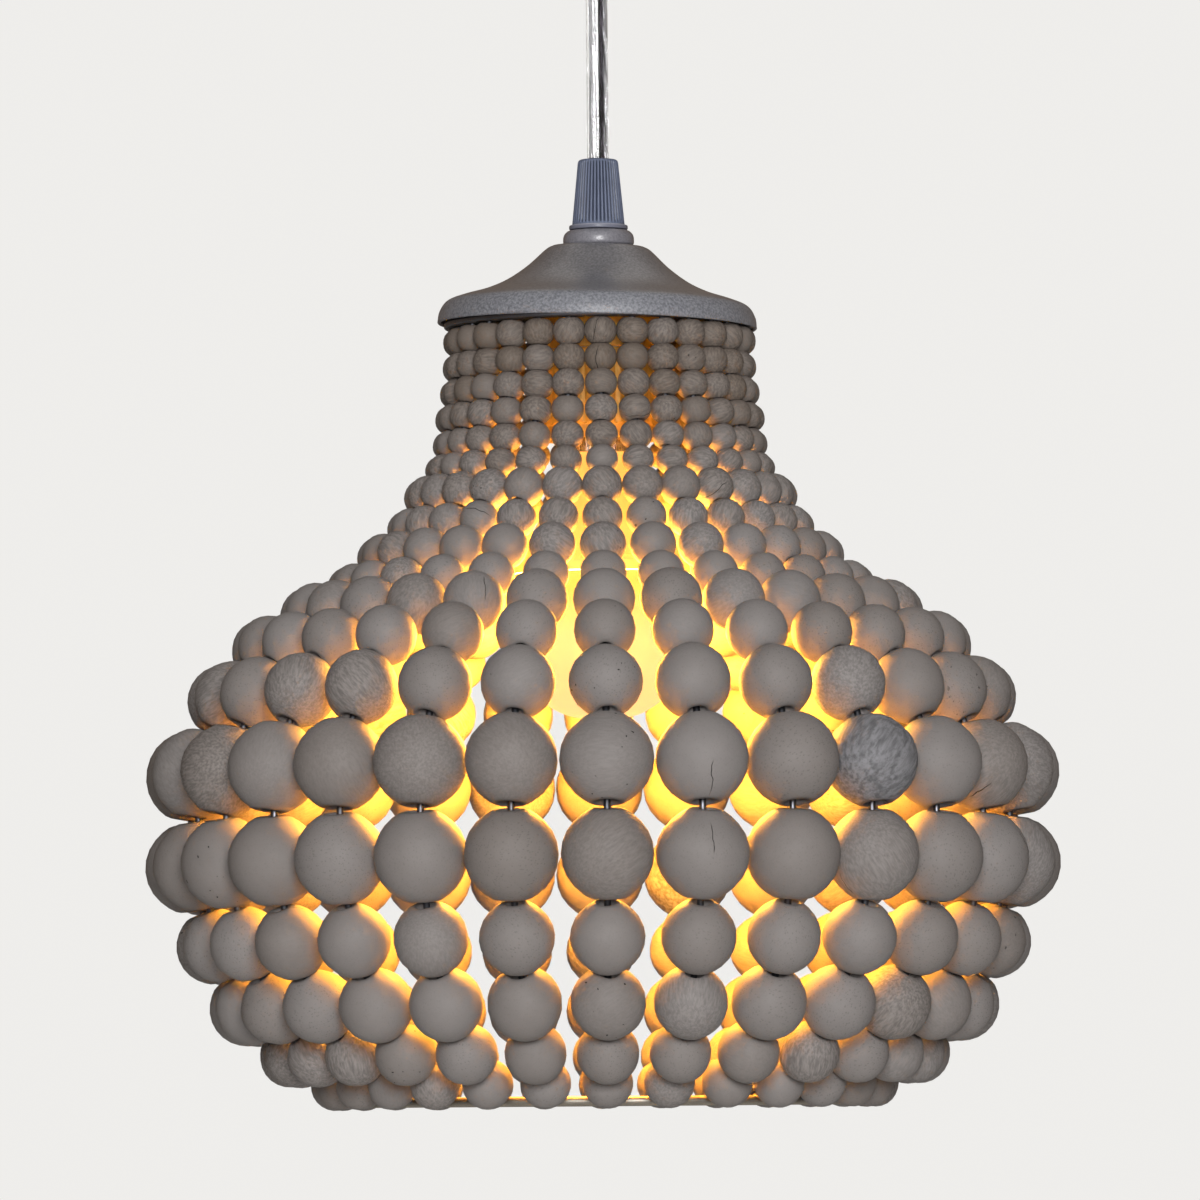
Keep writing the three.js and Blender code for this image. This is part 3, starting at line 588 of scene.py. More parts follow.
# %% Grip and collar
def ribbed_grip():
    """A closed outline turned round the axis, with forty ribs on its outside. The radius loses the
    rib depth times a wave round the axis, times a share that is one on the tapered part and falls
    to nothing near its ends. The long tapered edge gets rows of its own between its two ends."""
    steps = 6
    softness = np.array([0.3, 1.3, 0.3, 0.5, 0.5, 0.2, 0.1, 0.1]) * MM
    side = rounded([(CORD_BORE, GRIP_TOP), (GRIP_NECK, GRIP_TOP), (GRIP_WAIST, FLANGE_TOP),
                    (GRIP_RADIUS, FLANGE_TOP), (GRIP_RADIUS, GRIP_FOOT), (NIPPLE_HOLE, GRIP_FOOT),
                    (NIPPLE_HOLE, NIPPLE_END), (CORD_BORE, NIPPLE_END)], softness, steps)
    high, low = 2 * steps - 1, 2 * steps
    slope = np.linspace(0, 1, 26)[:, None]
    taper = side[high] * (1 - slope) + side[low] * slope
    outline = np.vstack([side[:high], taper, side[low + 1:]])
    level = outline[:, 1:]
    ribbed = np.clip((GRIP_TOP - 0.4 * MM - level) / (0.8 * MM), 0, 1)
    ribbed *= np.clip((level - FLANGE_TOP - 0.4 * MM) / (0.5 * MM), 0, 1)
    ribbed *= outline[:, :1] > NIPPLE_HOLE + 0.7 * MM
    columns = RIBS * 8
    groove = wave(RIBS, columns) ** 2 * ribbed
    piece = turned("ribbed_grip", outline, columns, sharp=50, cut=RIB_DEPTH * groove)
    store(piece.data, "rib_height", 1 - groove)
    return piece


dress(ribbed_grip(), "shade", "grey_plastic", grip_finish(), "cord_grip")

collar_outline = rounded([(NIPPLE_HOLE, COLLAR_TOP), (COLLAR_RADIUS - 1.65 * MM, COLLAR_TOP),
                          (COLLAR_RADIUS, COLLAR_TOP - 1.6 * MM), (COLLAR_RADIUS, COLLAR_FOOT),
                          (NIPPLE_HOLE, COLLAR_FOOT)],
                         np.array([0.3, 0.7, 1.6, 1.3, 0.3]) * MM, 9)
dress(turned("turned_collar", collar_outline), "shade", "grey_enamel", ENAMEL, "collar")

# %% [markdown]
# ## The cap
#
# The cap is one round of sheet metal, spun over a form: a flat top, a hollow flare and a rounded
# lip that turns down over the beads. Its outline is a smooth line through nine points, and the same
# line moved in by the thickness of the sheet closes it. On the real lamp the cap sits a little
# askew, with its right side lower, because its hole is wider than the nipple.

# %% Cap
CAP_TOP, CAP_FOOT, _ = size_of("shade_cap")
CAP_TOP_RADIUS, CAP_RADIUS, CAP_SHEET = 15.5 * MM, 53.4 * MM, 1.2 * MM
HEM_FOOT = CAP_FOOT - 0.35 * MM
CAP_LEAN = math.radians(1.5)
FLARE_FOOT = CAP_TOP - 19.7 * MM
CAP_SHARES = [(0, 1), (0.06, 0.95), (0.22, 0.735), (0.4, 0.553), (0.59, 0.428), (0.8, 0.337),
              (0.925, 0.261), (0.985, 0.129), (1, 0)]


def spun_cap():
    """The outline goes from the edge of the top to the lip: radius is the top's plus a share of the
    way out, height is the lip's plus a share of the cap's. The lining is moved in along the line's
    own normal. The whole is then turned by the lean about the middle of its top."""
    line = smooth_line(CAP_SHARES, 7)
    outer = np.stack([CAP_TOP_RADIUS + line[:, 0] * (CAP_RADIUS - CAP_TOP_RADIUS),
                      CAP_FOOT + line[:, 1] * (CAP_TOP - CAP_FOOT)], axis=-1)
    along = unit(np.gradient(outer, axis=0))
    inner = outer + np.stack([along[:, 1], -along[:, 0]], axis=-1) * CAP_SHEET
    inner[0] = (CAP_TOP_RADIUS - 0.2 * MM, CAP_TOP - CAP_SHEET)
    outline = np.vstack([[(NIPPLE_HOLE, CAP_TOP), (CAP_TOP_RADIUS - CAP_SHEET, CAP_TOP)], outer,
                         [(CAP_RADIUS - 0.25 * MM, HEM_FOOT), (CAP_RADIUS - 0.9 * MM, HEM_FOOT)],
                         inner[::-1], [(NIPPLE_HOLE, CAP_TOP - CAP_SHEET)]])
    points = round_points(outline[:, :1], outline[:, 1:] - CAP_TOP, angles(128))
    x, z = leaned(points[..., 0], points[..., 2], CAP_LEAN)
    return grid_piece("spun_cap", np.stack([x, points[..., 1], z + CAP_TOP], axis=-1), True, 60)


def cap_finish():
    """The lip is a cool, paler grey and the flare above it a warmer, darker one: a painted
    reflection of the pale room in front on the lip and of warm walls on the flare. The flare is
    also smoother, and the two meet in a narrow band just above the lip, level with the leaned cap.
    In both the stipple's hollows get painted shade."""
    finish, shader = new_finish("cap_enamel", (0.25, 0.25, 0.27), 0.4, Coat_Weight=0.25,
                                Coat_Roughness=0.25)
    grain = use_group(STIPPLE, place_of(shader), Scale=1250)
    across, _, height = split(place_of(shader))
    height = plus(times(across, math.tan(CAP_LEAN)), height)
    flare = remap(height, FLARE_FOOT, FLARE_FOOT + 1.2 * MM)
    # Painted reflection in the lip's cool grey and the flare's warm grey, with painted shade in the
    # stipple's hollows.
    lip = blend_colours(grain, (0.155, 0.16, 0.182), (0.365, 0.37, 0.405))
    body = blend_colours(grain, (0.152, 0.147, 0.153), (0.288, 0.276, 0.284))
    patchy(shader, blend_colours(flare, lip, body), 45, 0.05)
    vary_roughness(shader, flare, 0.48, 0.36)
    relief(shader, times(grain, remap(flare, 0, 1, 1.0, 0.5)), 0.05 * MM, 0.8)
    return finish


dress(spun_cap(), "shade", "grey_enamel", cap_finish(), "shade_cap")

# %% [markdown]
# ## The wire frame
#
# Under the cap a hub with three arms carries the top hoop. The rib wires are welded to that hoop
# and to a smaller one at the mouth of the shade. Each rib passes through the bores of its beads, so
# only short bright lengths show between the largest ones. All of it is drawn steel wire: a circle
# carried along a line.

# %% Rows of beads, from the neck down
STRANDS, BALL_GAP, THREAD_GAP = 28, 0.9 * MM, 0.15 * MM
STRAND_TOP = size_of("bead_strand_01")[0]
FLAT, OVAL, ROUND = 0.843, 0.923, 0.98
BELLY_BEAD = 30 * MM
# Each row: a bead's width as a share of the widest, its height and its spacing round the shade as
# shares of its width, and its drop from the row above as a share of what two stacked beads need.
ROWS = np.array([
    (0.34, FLAT, 1.03, 0), (0.34, FLAT, 1.033, 1), (0.34, FLAT, 1.055, 0.99),
    (0.34, FLAT, 1.09, 0.985), (0.34, FLAT, 1.11, 0.99), (0.34, FLAT, 1.17, 0.95),
    (0.4333, OVAL, 1.015, 0.86), (0.4333, OVAL, 1.115, 0.87), (0.5067, OVAL, 1.087, 0.73),
    (0.5067, OVAL, 1.235, 0.7), (0.6667, ROUND, 1.088, 0.54), (0.6667, ROUND, 1.267, 0.55),
    (0.8, ROUND, 1.176, 0.79), (1, ROUND, 1.023, 0.945), (1, ROUND, 1.0245, 1),
    (0.8, ROUND, 1.216, 0.99), (0.8, ROUND, 1.114, 0.88), (0.6667, ROUND, 1.172, 0.735),
    (0.5333, ROUND, 1.254, 0.54)])
COUNT = len(ROWS)

widths = BELLY_BEAD * ROWS[:, 0]
tall = widths * ROWS[:, 1]
row_radii = widths * ROWS[:, 2] / (2 * math.sin(math.pi / STRANDS))
is_belly = widths == BELLY_BEAD
gaps = np.where(is_belly[1:] & is_belly[:-1], BALL_GAP, THREAD_GAP)
drops = ((tall[1:] + tall[:-1]) / 2 + gaps) * ROWS[1:, 3]
row_levels = STRAND_TOP - tall[0] / 2 - np.concatenate([[0], np.cumsum(drops)])
centres = np.stack([row_radii, row_levels], axis=-1)
print("rows:", COUNT, "widest radius:", round(row_radii.max() / MM, 1), "mm")


# %% Metal finish
def metal_finish(name, colour, roughness):
    """Bare metal with the fine lines that drawing or turning leaves."""
    finish, shader = new_finish(name, colour, roughness, 1.0)
    patchy(shader, colour, 120, 0.14)
    lines = use_group(LINES, place_of(shader), Scale=2600, Reach=0.12)
    vary_roughness(shader, lines, roughness - 0.08, roughness + 0.12)
    relief(shader, lines, 0.02 * MM, 0.7)
    return finish


STEEL = metal_finish("drawn_steel", (0.15, 0.155, 0.175), 0.42)
HOOP_STEEL = metal_finish("hoop_steel", (0.40, 0.36, 0.30), 0.48)

# %% Ribs and hoops
HOOP_TOP, HOOP_FOOT, _ = size_of("top_hoop")
HOOP_INSIDE, HOOP_OUTSIDE = 45.1 * MM, 51.9 * MM
RIB_TOP, RIB_RADIUS = HOOP_FOOT + 1 * MM, 1.15 * MM
MOUTH_WIRE, MOUTH_GAP = 3.2 * MM, 1.3 * MM

tail = unit(centres[-1] - centres[-2])
mouth = centres[-1] + tail * (tall[-1] / 2 + MOUTH_GAP + MOUTH_WIRE / 2)
rib_line = np.vstack([[(row_radii[0], RIB_TOP)], centres, [mouth]])


def strand_directions(strand):
    """Straight out from the axis to a strand, and along the circle there."""
    angle = -math.pi / 2 + strand * 2 * math.pi / STRANDS
    return (np.array([math.cos(angle), math.sin(angle), 0]),
            np.array([-math.sin(angle), math.cos(angle), 0]))


def rib_wires():
    """Twenty-eight ribs in one piece, as they are welded into one frame. A rib's line lies in a
    plane through the axis, so its point (radius, height) is carried to each strand's angle."""
    skins = np.stack([
        wire_points(rib_line[:, :1] * out + rib_line[:, 1:] * UP, RIB_RADIUS, 10, side)
        for out, side in map(strand_directions, range(STRANDS))])
    return new_piece("rib_wires", skins, copied_faces(*skins.shape[:3], False), sharp=60)


strand_names = [f"bead_strand_{strand + 1:02d}" for strand in range(STRANDS)]
dress(rib_wires(), "shade", "steel_wire", STEEL, *strand_names)
dress(hoop("mouth_hoop", *mouth, MOUTH_WIRE), "shade", "steel_wire", HOOP_STEEL, "bottom_hoop")

ring_outline = rounded([(HOOP_INSIDE, HOOP_FOOT), (HOOP_OUTSIDE, HOOP_FOOT),
                        (HOOP_OUTSIDE, HOOP_TOP), (HOOP_INSIDE, HOOP_TOP)], 0.8 * MM)
dress(turned("neck_hoop", ring_outline, 112), "shade", "steel_wire", STEEL, "top_hoop")

# %% [markdown]
# ## The beads
#
# A wooden bead is turned as a ball and bored through. No two are alike: each is a little out of
# round, sits at its own angle on the wire, and took the grey paint in its own way. The neck's small
# ones are squat, with flat ends. There are hundreds, so each starts from a cage of about a hundred
# faces, and a subdivision surface rounds it. A subdivision surface pulls a cage inwards, so the
# cage is drawn larger by what it will lose.

# %% The cage of a bead
CAGE_COLUMNS = 12
SHRINK = (2 + math.cos(2 * math.pi / CAGE_COLUMNS)) / 3


def bead_cages(width, height, squareness, flat, bore, lean, spin, oval):
    """The cages of one strand's beads, as beads, rows, columns and three coordinates. On the
    outside the radius is the half width times cos v to the power 2 / squareness, and the height is
    the half height times sin v to the same power, for five latitudes v. Four more rows make the
    flat ends and line the bore. The surface follows each point by two thirds and its neighbours by
    one sixth each, so round the bead it shrinks by (2 + cos 30) / 3, and from end to end by that
    much again. Each cage is then made slightly oval, turned round its bore by its spin and leaned
    by its two small angles."""
    v = np.radians([-60, -30, 0, 30, 60])[None, :]
    power = 2 / squareness[:, None]
    outer_radius = width[:, None] / 2 * np.cos(v) ** power / SHRINK ** 2
    outer_height = height[:, None] / 2 * np.sign(v) * np.abs(np.sin(v)) ** power / SHRINK
    rim = np.stack([flat, bore, bore, flat], axis=1) / SHRINK
    rim_height = height[:, None] / 2 * np.array([[1.05, 0.9, -0.9, -1.05]])
    radius = np.concatenate([outer_radius, rim], axis=1)[:, :, None]
    level = np.concatenate([outer_height, rim_height], axis=1)[:, :, None]
    u = angles(CAGE_COLUMNS)[None]
    radius = radius * (1 - oval[:, None, None] * (0.5 + 0.5 * np.cos(2 * u)))
    x, y, z = np.moveaxis(round_points(radius, level, u + spin[:, None, None]), -1, 0)
    x, z = leaned(x, z, lean[:, 0, None, None])
    y, z = leaned(y, z, lean[:, 1, None, None])
    return np.stack([x, y, z], axis=-1)


# %% Painted wood
BARE, PAINTED, BLUISH = (0.168, 0.13, 0.1), (0.285, 0.261, 0.251), (0.216, 0.212, 0.222)
WOUND = (0.02, 0.017, 0.015)


def dent_net(place, seed, grain):
    """The fine net of dents that paint shrinks into where the grain is closed. It follows the
    distance to the middle of the nearest cell, and fades as the grain opens."""
    cells = add_node(place, "ShaderNodeTexVoronoi", voronoi_dimensions="4D")
    feed(cells, Vector=stretched(place, (1.0, 1.0, 0.6)), W=seed, Scale=1300)
    return times(remap(cells.outputs["Distance"], 0.12, 0.5, 1.0, 0.0),
                 remap(grain, 0.1, 0.42, 1.0, 0.0))


def wounds(place, seed, flaw):
    """Cracks in the most flawed beads and pits in the next ones. A crack is where the bead's own x
    is near nought, give or take a slow noise, and it ends some millimetres up and down."""
    across, _, along = split(place)
    wander = times(minus(noise_in(place, seed, 160, 2), 0.5), 3.5 * MM)
    off_line = calculate("ABSOLUTE", plus(across, wander))
    crack = remap(off_line, 0.05 * MM, 0.18 * MM, 1.0, 0.0)
    reach = remap(calculate("ABSOLUTE", along), 3 * MM, 5.5 * MM, 1.0, 0.0)
    crack = times(times(crack, reach), remap(flaw, 0.91, 0.92))
    pitted = minus(remap(flaw, 0.8, 0.83), remap(flaw, 0.9, 0.91))
    return larger(crack, times(remap(noise_in(place, seed, 700, 0), 0.79, 0.83), pitted))


def painted_wood_finish():
    """Matt grey paint on wood. Each bead carries its own values: its tone, how open its grain is,
    how flawed it is, and a seed. The patterns are laid out in the bead's own turned space, so the
    fibre runs another way on each bead. A bead with next to no flaw value is the one that took a
    bluer, scratched coat."""
    finish, shader = new_finish("painted_wood", (0.27, 0.24, 0.23), 0.62, Specular_IOR_Level=0.35)
    place, seed = attribute(shader, "bead_place"), attribute(shader, "bead_seed", "Fac")
    tone, grain, flaw = split(attribute(shader, "bead_look"))
    blue = remap(flaw, 0.025, 0.03, 1.0, 0.0)
    open_grain = larger(remap(grain, 0.3, 0.85), blue)
    fibre = use_group(LINES, place, Seed=seed, Scale=remap(blue, 0, 1, 1300, 700), Reach=0.2)
    dots = use_group(STIPPLE, place, Seed=seed, Scale=1700)
    net, wound = dent_net(place, seed, grain), wounds(place, seed, flaw)

    base = blend_colours(tone, BARE, PAINTED)
    base = tint(base, use_group(MOTTLE, place, Seed=seed, Scale=110, Amount=0.06))
    base = blend_colours(blue, base, BLUISH)
    streaks = times(times(minus(fibre, 0.5), open_grain), remap(blue, 0, 1, 0.5, 0.72))
    for factor in (plus(streaks, 1.0), remap(dots, 0.0, 0.28, 0.92, 1.0),
                   remap(net, 0, 1, 1.03, 0.8)):
        base = tint(base, factor)
    feed(shader, Base_Color=blend_colours(wound, base, WOUND))
    vary_roughness(shader, dots, 0.72, 0.56)

    raised = plus(times(fibre, open_grain), times(dots, 0.35))
    sunk = plus(times(net, 0.8), times(wound, 3.0))
    relief(shader, minus(raised, sunk), 0.09 * MM, 0.8)
    return finish


PAINTED_WOOD = painted_wood_finish()

# %% Rows of one string
rng = np.random.default_rng(28)
row = np.arange(COUNT)
step = np.gradient(centres, axis=0)
step[0] = (0, -1)
step = unit(step)
squareness = np.interp(row, [0, 4, 7, 10, 18], [2.8, 2.7, 2.3, 2.1, 2.1])
flats = widths / 2 * np.interp(row, [0, 5, 9, 18], [0.58, 0.5, 0.28, 0.26])
bores = np.maximum(1.35 * MM, widths * 0.088)
bead_heights = np.where(is_belly, tall - 0.3 * MM, tall)
bead_widths = widths * np.interp(row, [0, 4, 5, 7, 17, 18], [1.048, 1.048, 1.03, 1.02, 1.02, 1.05])
tones = np.interp(row, [0, 3, 7, 18], [0.25, 0.42, 0.86, 0.9])
is_small = widths < 14 * MM

# The marked beads of the photograph: string 4 has a bluish bead in the upper belly row, scratched
# from its lower left to its upper right, and the two belly beads of string 2 are cracked, one
# towards its foot and one towards its top. A bead's own axes point outwards, to the right and down.
BELLY_ROWS = np.flatnonzero(is_belly)
BLUE_STRAND, CRACKED_STRAND = 3, 1
CRACK_LEVELS = np.array([9 * MM, -6 * MM])
CRACK_OUTWARD = np.array([[0, 1, 0], [1, 0, 0], [0, 0, 1]])
DIAGONAL = math.sqrt(0.5)
SCRATCHED_UPWARD = np.array([[1, 0, 0], [0, DIAGONAL, DIAGONAL], [0, DIAGONAL, -DIAGONAL]])


# %% String the beads
def loose_cages():
    """The cages of one string. Each bead has its own lean, spin, size and shape, and is only ever
    smaller than what its row allows."""
    loose = np.where(is_small, 1.0, 0.45)
    wear = rng.uniform(0, 0.024, COUNT) * np.where(is_small, 0.3, 1.0)
    return bead_cages(bead_widths * (1 - wear),
                      bead_heights * (1 - rng.uniform(0, 0.03, COUNT) * loose),
                      squareness + rng.normal(0, 0.06, COUNT), flats, bores,
                      np.radians(rng.normal(0, 3.2, (COUNT, 2)) * loose[:, None]),
                      rng.uniform(0, 2 * np.pi, COUNT), rng.uniform(0, 0.008, COUNT))


def threaded(cages, strand):
    """Puts a string's cages on its row centres, with their bores along the wire. Each is shifted
    by a trace, inwards and to one side."""
    out, side = strand_directions(strand)
    bore_axis = step[:, :1] * out + step[:, 1:] * UP
    outward = -step[:, 1:] * out + step[:, :1] * UP
    shift = rng.normal(0, 0.05 * MM, (COUNT, 2))
    middle = (centres[:, :1] - np.abs(shift[:, :1])) * out + centres[:, 1:] * UP
    middle += shift[:, 1:] * side
    return (middle[:, None, None] + cages[..., 0:1] * outward[:, None, None]
            + cages[..., 1:2] * side + cages[..., 2:3] * bore_axis[:, None, None])


def keep_looks(mesh, cages, strand):
    """Gives each bead what its paint reads: a turned space of its own, its tone, grain and flaw,
    and its seed. Random turns are the unit part of random tables, from their QR division."""
    turns, _ = np.linalg.qr(rng.normal(size=(COUNT, 3, 3)))
    tone = np.clip(tones + rng.normal(0, 0.1, COUNT), 0, 1)
    grain = np.clip(rng.beta(1.1, 2.2, COUNT) + 0.42 * is_small, 0, 1)
    flaw = np.maximum(rng.uniform(0, 1, COUNT), np.where(widths < 22 * MM, 0.1, 0))
    if strand == BLUE_STRAND:
        flaw[BELLY_ROWS[0]] = 0
        turns[BELLY_ROWS[0]] = SCRATCHED_UPWARD
    if strand == CRACKED_STRAND:
        flaw[BELLY_ROWS] = 0.95
        turns[BELLY_ROWS] = CRACK_OUTWARD
    place = np.einsum("bij,brcj->brci", turns, cages)
    if strand == CRACKED_STRAND:
        place[BELLY_ROWS, ..., 2] -= CRACK_LEVELS[:, None, None]
    look = np.stack([tone, grain, flaw], axis=-1)[:, None, None]
    seed = rng.uniform(0, 90, COUNT)[:, None, None]
    store(mesh, "bead_place", place, vector=True)
    store(mesh, "bead_look", np.broadcast_to(look, cages.shape), vector=True)
    store(mesh, "bead_seed", np.broadcast_to(seed, cages.shape[:3]))


def bead_string(strand):
    """One string of beads as one mesh of cages, with the modifier that rounds them."""
    cages = loose_cages()
    points = threaded(cages, strand)
    faces = copied_faces(*cages.shape[:3], True)
    mesh = bpy.data.meshes.new(f"beads_{strand + 1:02d}")
    mesh.from_pydata(points.reshape(-1, 3).tolist(), [], faces[:, ::-1].tolist())
    mesh.shade_smooth()
    keep_looks(mesh, cages, strand)
    piece = bpy.data.objects.new(mesh.name, mesh)
    bpy.context.scene.collection.objects.link(piece)
    rounding = piece.modifiers.new("rounding", "SUBSURF")
    rounding.levels = rounding.render_levels = 1
    return piece


def settle(pieces):
    """Turns each piece's rounding into plain faces, so that its box is that of the smooth beads
    and not that of the larger cages."""
    bpy.context.view_layer.update()
    graph = bpy.context.evaluated_depsgraph_get()
    for piece in pieces:
        cage, piece.data = piece.data, bpy.data.meshes.new_from_object(piece.evaluated_get(graph))
        piece.modifiers.clear()
        bpy.data.meshes.remove(cage)


strings = [bead_string(strand) for strand in range(STRANDS)]
settle(strings)
for piece, name in zip(strings, strand_names):
    dress(piece, "shade", "painted_wood", PAINTED_WOOD, name)

# %% [markdown]
# ## Lampholder and lamp
#
# The holder is a brass dome with a fluted skirt below it, screwed to the same hollow nipple as the
# cap. It catches the lamp's light and fills the gaps of the neck with gold. The lamp hangs from it:
# a pale housing with a ring of vent slots, and an opal globe below. The globe is the light of the
# whole picture, so it shines in a warm colour, strong enough to turn the inner sides of the beads
# yellow.

# %% Sizes of holder and lamp
DOME_TOP, DOME_FOOT, HOLDER_RADIUS = size_of("holder_dome")
SKIRT_TOP, SKIRT_FOOT, _ = size_of("holder_skirt")
HOUSING_TOP, HOUSING_FOOT, HOUSING_RADIUS = size_of("bulb_housing")
GLOBE_TOP, GLOBE_FOOT, GLOBE_RADIUS = size_of("bulb_globe")
HOLDER_WALL, HOUSING_WALL, GLOBE_WALL = 2 * MM, 1.8 * MM, 1.6 * MM
DOME_SHOULDER, HOUSING_NECK = 11 * MM, 14 * MM
FLUTES, FLUTE_DEPTH = 36, 0.5 * MM
VENTS, VENT_LEVEL, VENT_HEIGHT, VENT_DEPTH = 14, HOUSING_FOOT + 4.2 * MM, 0.9 * MM, 1.2 * MM
HOUSING_SHARES = [(0, 1), (0.04, 0.86), (0.3, 0.55), (0.74, 0.22), (1, 0.08)]
GLOBE_SHARES = [(0.975, 1), (1, 0.8), (0.985, 0.6), (0.9, 0.36), (0.7, 0.16), (0.4, 0.045), (0, 0)]

# %% Finishes of holder and lamp
GLOW, GLOW_STRENGTH = (1.0, 0.40, 0.035), 230


def opal_finish():
    """Opal plastic lit from within. It lights the beads far above the range of a picture, so the
    camera is given the dimmer glow that an eye sees: pale where the light of the board falls, and
    yellow near the housing."""
    finish, shader = new_finish("opal_globe", (0.30, 0.25, 0.18), 0.35)
    place = place_of(shader)
    hot = remap(split(place)[2], GLOBE_TOP - 2.6 * MM, GLOBE_TOP - 23.6 * MM)
    glow = blend_colours(hot, (0.92, 0.43, 0.06), (1.0, 0.60, 0.24))
    glow = tint(glow, use_group(MOTTLE, place, Scale=55, Amount=0.07))
    seen = add_node(shader, "ShaderNodeLightPath").outputs["Is Camera Ray"]
    feed(shader, Emission_Color=blend_colours(seen, GLOW, glow),
         Emission_Strength=remap(seen, 0, 1, GLOW_STRENGTH, 1.0))
    return finish


def housing_finish():
    """Cream plastic with a faint painted glow: its emission stands in for the globe's light that
    falls on it and shines through it.
    """
    cream = (0.72, 0.60, 0.36)
    finish, shader = new_finish("cream_plastic_painted_glow", cream, 0.5, Emission_Color=(1.0, 0.5, 0.08),
                                Emission_Strength=0.7)
    patchy(shader, cream, 60, 0.05)
    return finish


BLACK_PLASTIC = moulded_finish("black_plastic", (0.018, 0.018, 0.02), 0.38, 500)
WHITE_PLASTIC = moulded_finish("white_plastic", (0.76, 0.72, 0.64), 0.45, 500)
CERAMIC = moulded_finish("white_ceramic", (0.80, 0.78, 0.72), 0.6, 900)
BOARD = moulded_finish("white_board", (0.72, 0.76, 0.73), 0.5, 900)
BRASS = metal_finish("plain_brass", (0.78, 0.58, 0.26), 0.3)
SATIN_BRASS = metal_finish("satin_brass", (0.86, 0.68, 0.26), 0.6)
BRIGHT = metal_finish("bright_metal", (0.74, 0.74, 0.75), 0.25)

# %% Holder
HOLDER_INSIDE = HOLDER_RADIUS - HOLDER_WALL
dome_outline = rounded([
    (NIPPLE_HOLE, DOME_TOP), (DOME_SHOULDER, DOME_TOP), (HOLDER_RADIUS, DOME_TOP - DOME_SHOULDER),
    (HOLDER_RADIUS, DOME_FOOT), (HOLDER_INSIDE, DOME_FOOT),
    (HOLDER_INSIDE, DOME_TOP - DOME_SHOULDER - 0.5 * MM),
    (DOME_SHOULDER - 0.8 * MM, DOME_TOP - HOLDER_WALL), (NIPPLE_HOLE, DOME_TOP - HOLDER_WALL)],
    np.array([0.3, 3, 6, 0.5, 0.5, 5, 2, 0.3]) * MM, 7)
dress(turned("spun_dome", dome_outline, 72), "shade", "brass", SATIN_BRASS, "holder_dome")


def ribbed_skirt():
    """A tube whose two ends are turned down a little. The wider stretch between them carries 36
    shallow flutes that give fingers a hold: the radius loses the flute's depth times the third
    power of a wave round the axis."""
    neck, foot = HOLDER_RADIUS - 0.5 * MM, HOLDER_RADIUS - 0.6 * MM
    outline = rounded([
        (neck, SKIRT_TOP), (neck, SKIRT_TOP - 3 * MM), (HOLDER_RADIUS, SKIRT_TOP - 3.6 * MM),
        (HOLDER_RADIUS, SKIRT_FOOT + 5 * MM), (foot, SKIRT_FOOT + 4.4 * MM), (foot, SKIRT_FOOT),
        (HOLDER_INSIDE, SKIRT_FOOT), (HOLDER_INSIDE, SKIRT_TOP)], 0.4 * MM, 4)
    fluted = outline[:, :1] > HOLDER_RADIUS - 0.2 * MM
    columns = FLUTES * 6
    cut = FLUTE_DEPTH * fluted * wave(FLUTES, columns) ** 3
    return turned("ribbed_skirt", outline, columns, sharp=50, cut=cut)


dress(ribbed_skirt(), "shade", "brass", SATIN_BRASS, "holder_skirt")


# %% Lamp
def vented_housing():
    """The housing's outline, turned. Just above its foot a ring of slots is pressed in: where a
    point's height is in the slot's band and its angle in a slot's width, it moves in by 1.2 mm."""
    shares = np.vstack([smooth_line(HOUSING_SHARES, 7), [(1, 0)]])
    outer = np.stack([HOUSING_NECK + shares[:, 0] * (HOUSING_RADIUS - HOUSING_NECK),
                      HOUSING_FOOT + shares[:, 1] * (HOUSING_TOP - HOUSING_FOOT)], axis=-1)
    outer = np.vstack([[(0, HOUSING_TOP)], outer])
    edge = VENT_HEIGHT / 2 + 0.05 * MM
    band = VENT_LEVEL + np.array([edge, VENT_HEIGHT / 2, -VENT_HEIGHT / 2, -edge])
    radii = np.interp(-band, -outer[:, 1], outer[:, 0])
    above, below = outer[outer[:, 1] > band[0]], outer[outer[:, 1] < band[-1]]
    outer = np.vstack([above, np.stack([radii, band], axis=-1), below])
    inner = outer[:0:-1] - (HOUSING_WALL, 0)
    outline = np.vstack([outer, inner[:-1], [(0, inner[-2, 1])]])
    radius, level = outline[:, :1], outline[:, 1:]
    in_band = np.abs(level - VENT_LEVEL) < VENT_HEIGHT / 2 + 0.01 * MM
    on_outside = radius > HOUSING_RADIUS - VENT_DEPTH
    columns = VENTS * 16
    in_slot = (angles(columns) * VENTS / (2 * np.pi)) % 1 < 0.36
    cut = VENT_DEPTH * (in_band & on_outside & in_slot)
    return turned("vented_housing", outline, columns, on_axis=True, sharp=30, cut=cut)


def opal_globe():
    """A thin round cup, closed below: the outline down the outside and back up the inside."""
    line = smooth_line(GLOBE_SHARES, 5)
    outer, inner = (
        np.stack([line[:, 0] * (GLOBE_RADIUS - wall),
                  GLOBE_FOOT + wall + line[:, 1] * (GLOBE_TOP - GLOBE_FOOT - wall)], axis=-1)
        for wall in (0, GLOBE_WALL))
    ring = np.vstack([inner[::-1], outer])
    ring[:, 0] = np.maximum(ring[:, 0], 0)
    return turned("opal_globe", ring, 64, on_axis=True, sharp=60)


dress(vented_housing(), "bulb", "white_plastic", housing_finish(), "bulb_housing")
dress(opal_globe(), "bulb", "opal_globe", opal_finish(), "bulb_globe")

# %% [markdown]
# ## The ceiling rose
#
# The rose hides the wiring: a shallow turned cup over a steel strap that is screwed to the ceiling.
# Two screws through its side hold it to the strap's ears, and a gland in its floor lets the cord
# through. The cup is drawn again with a smooth edge, and the solids inside keep their shapes.

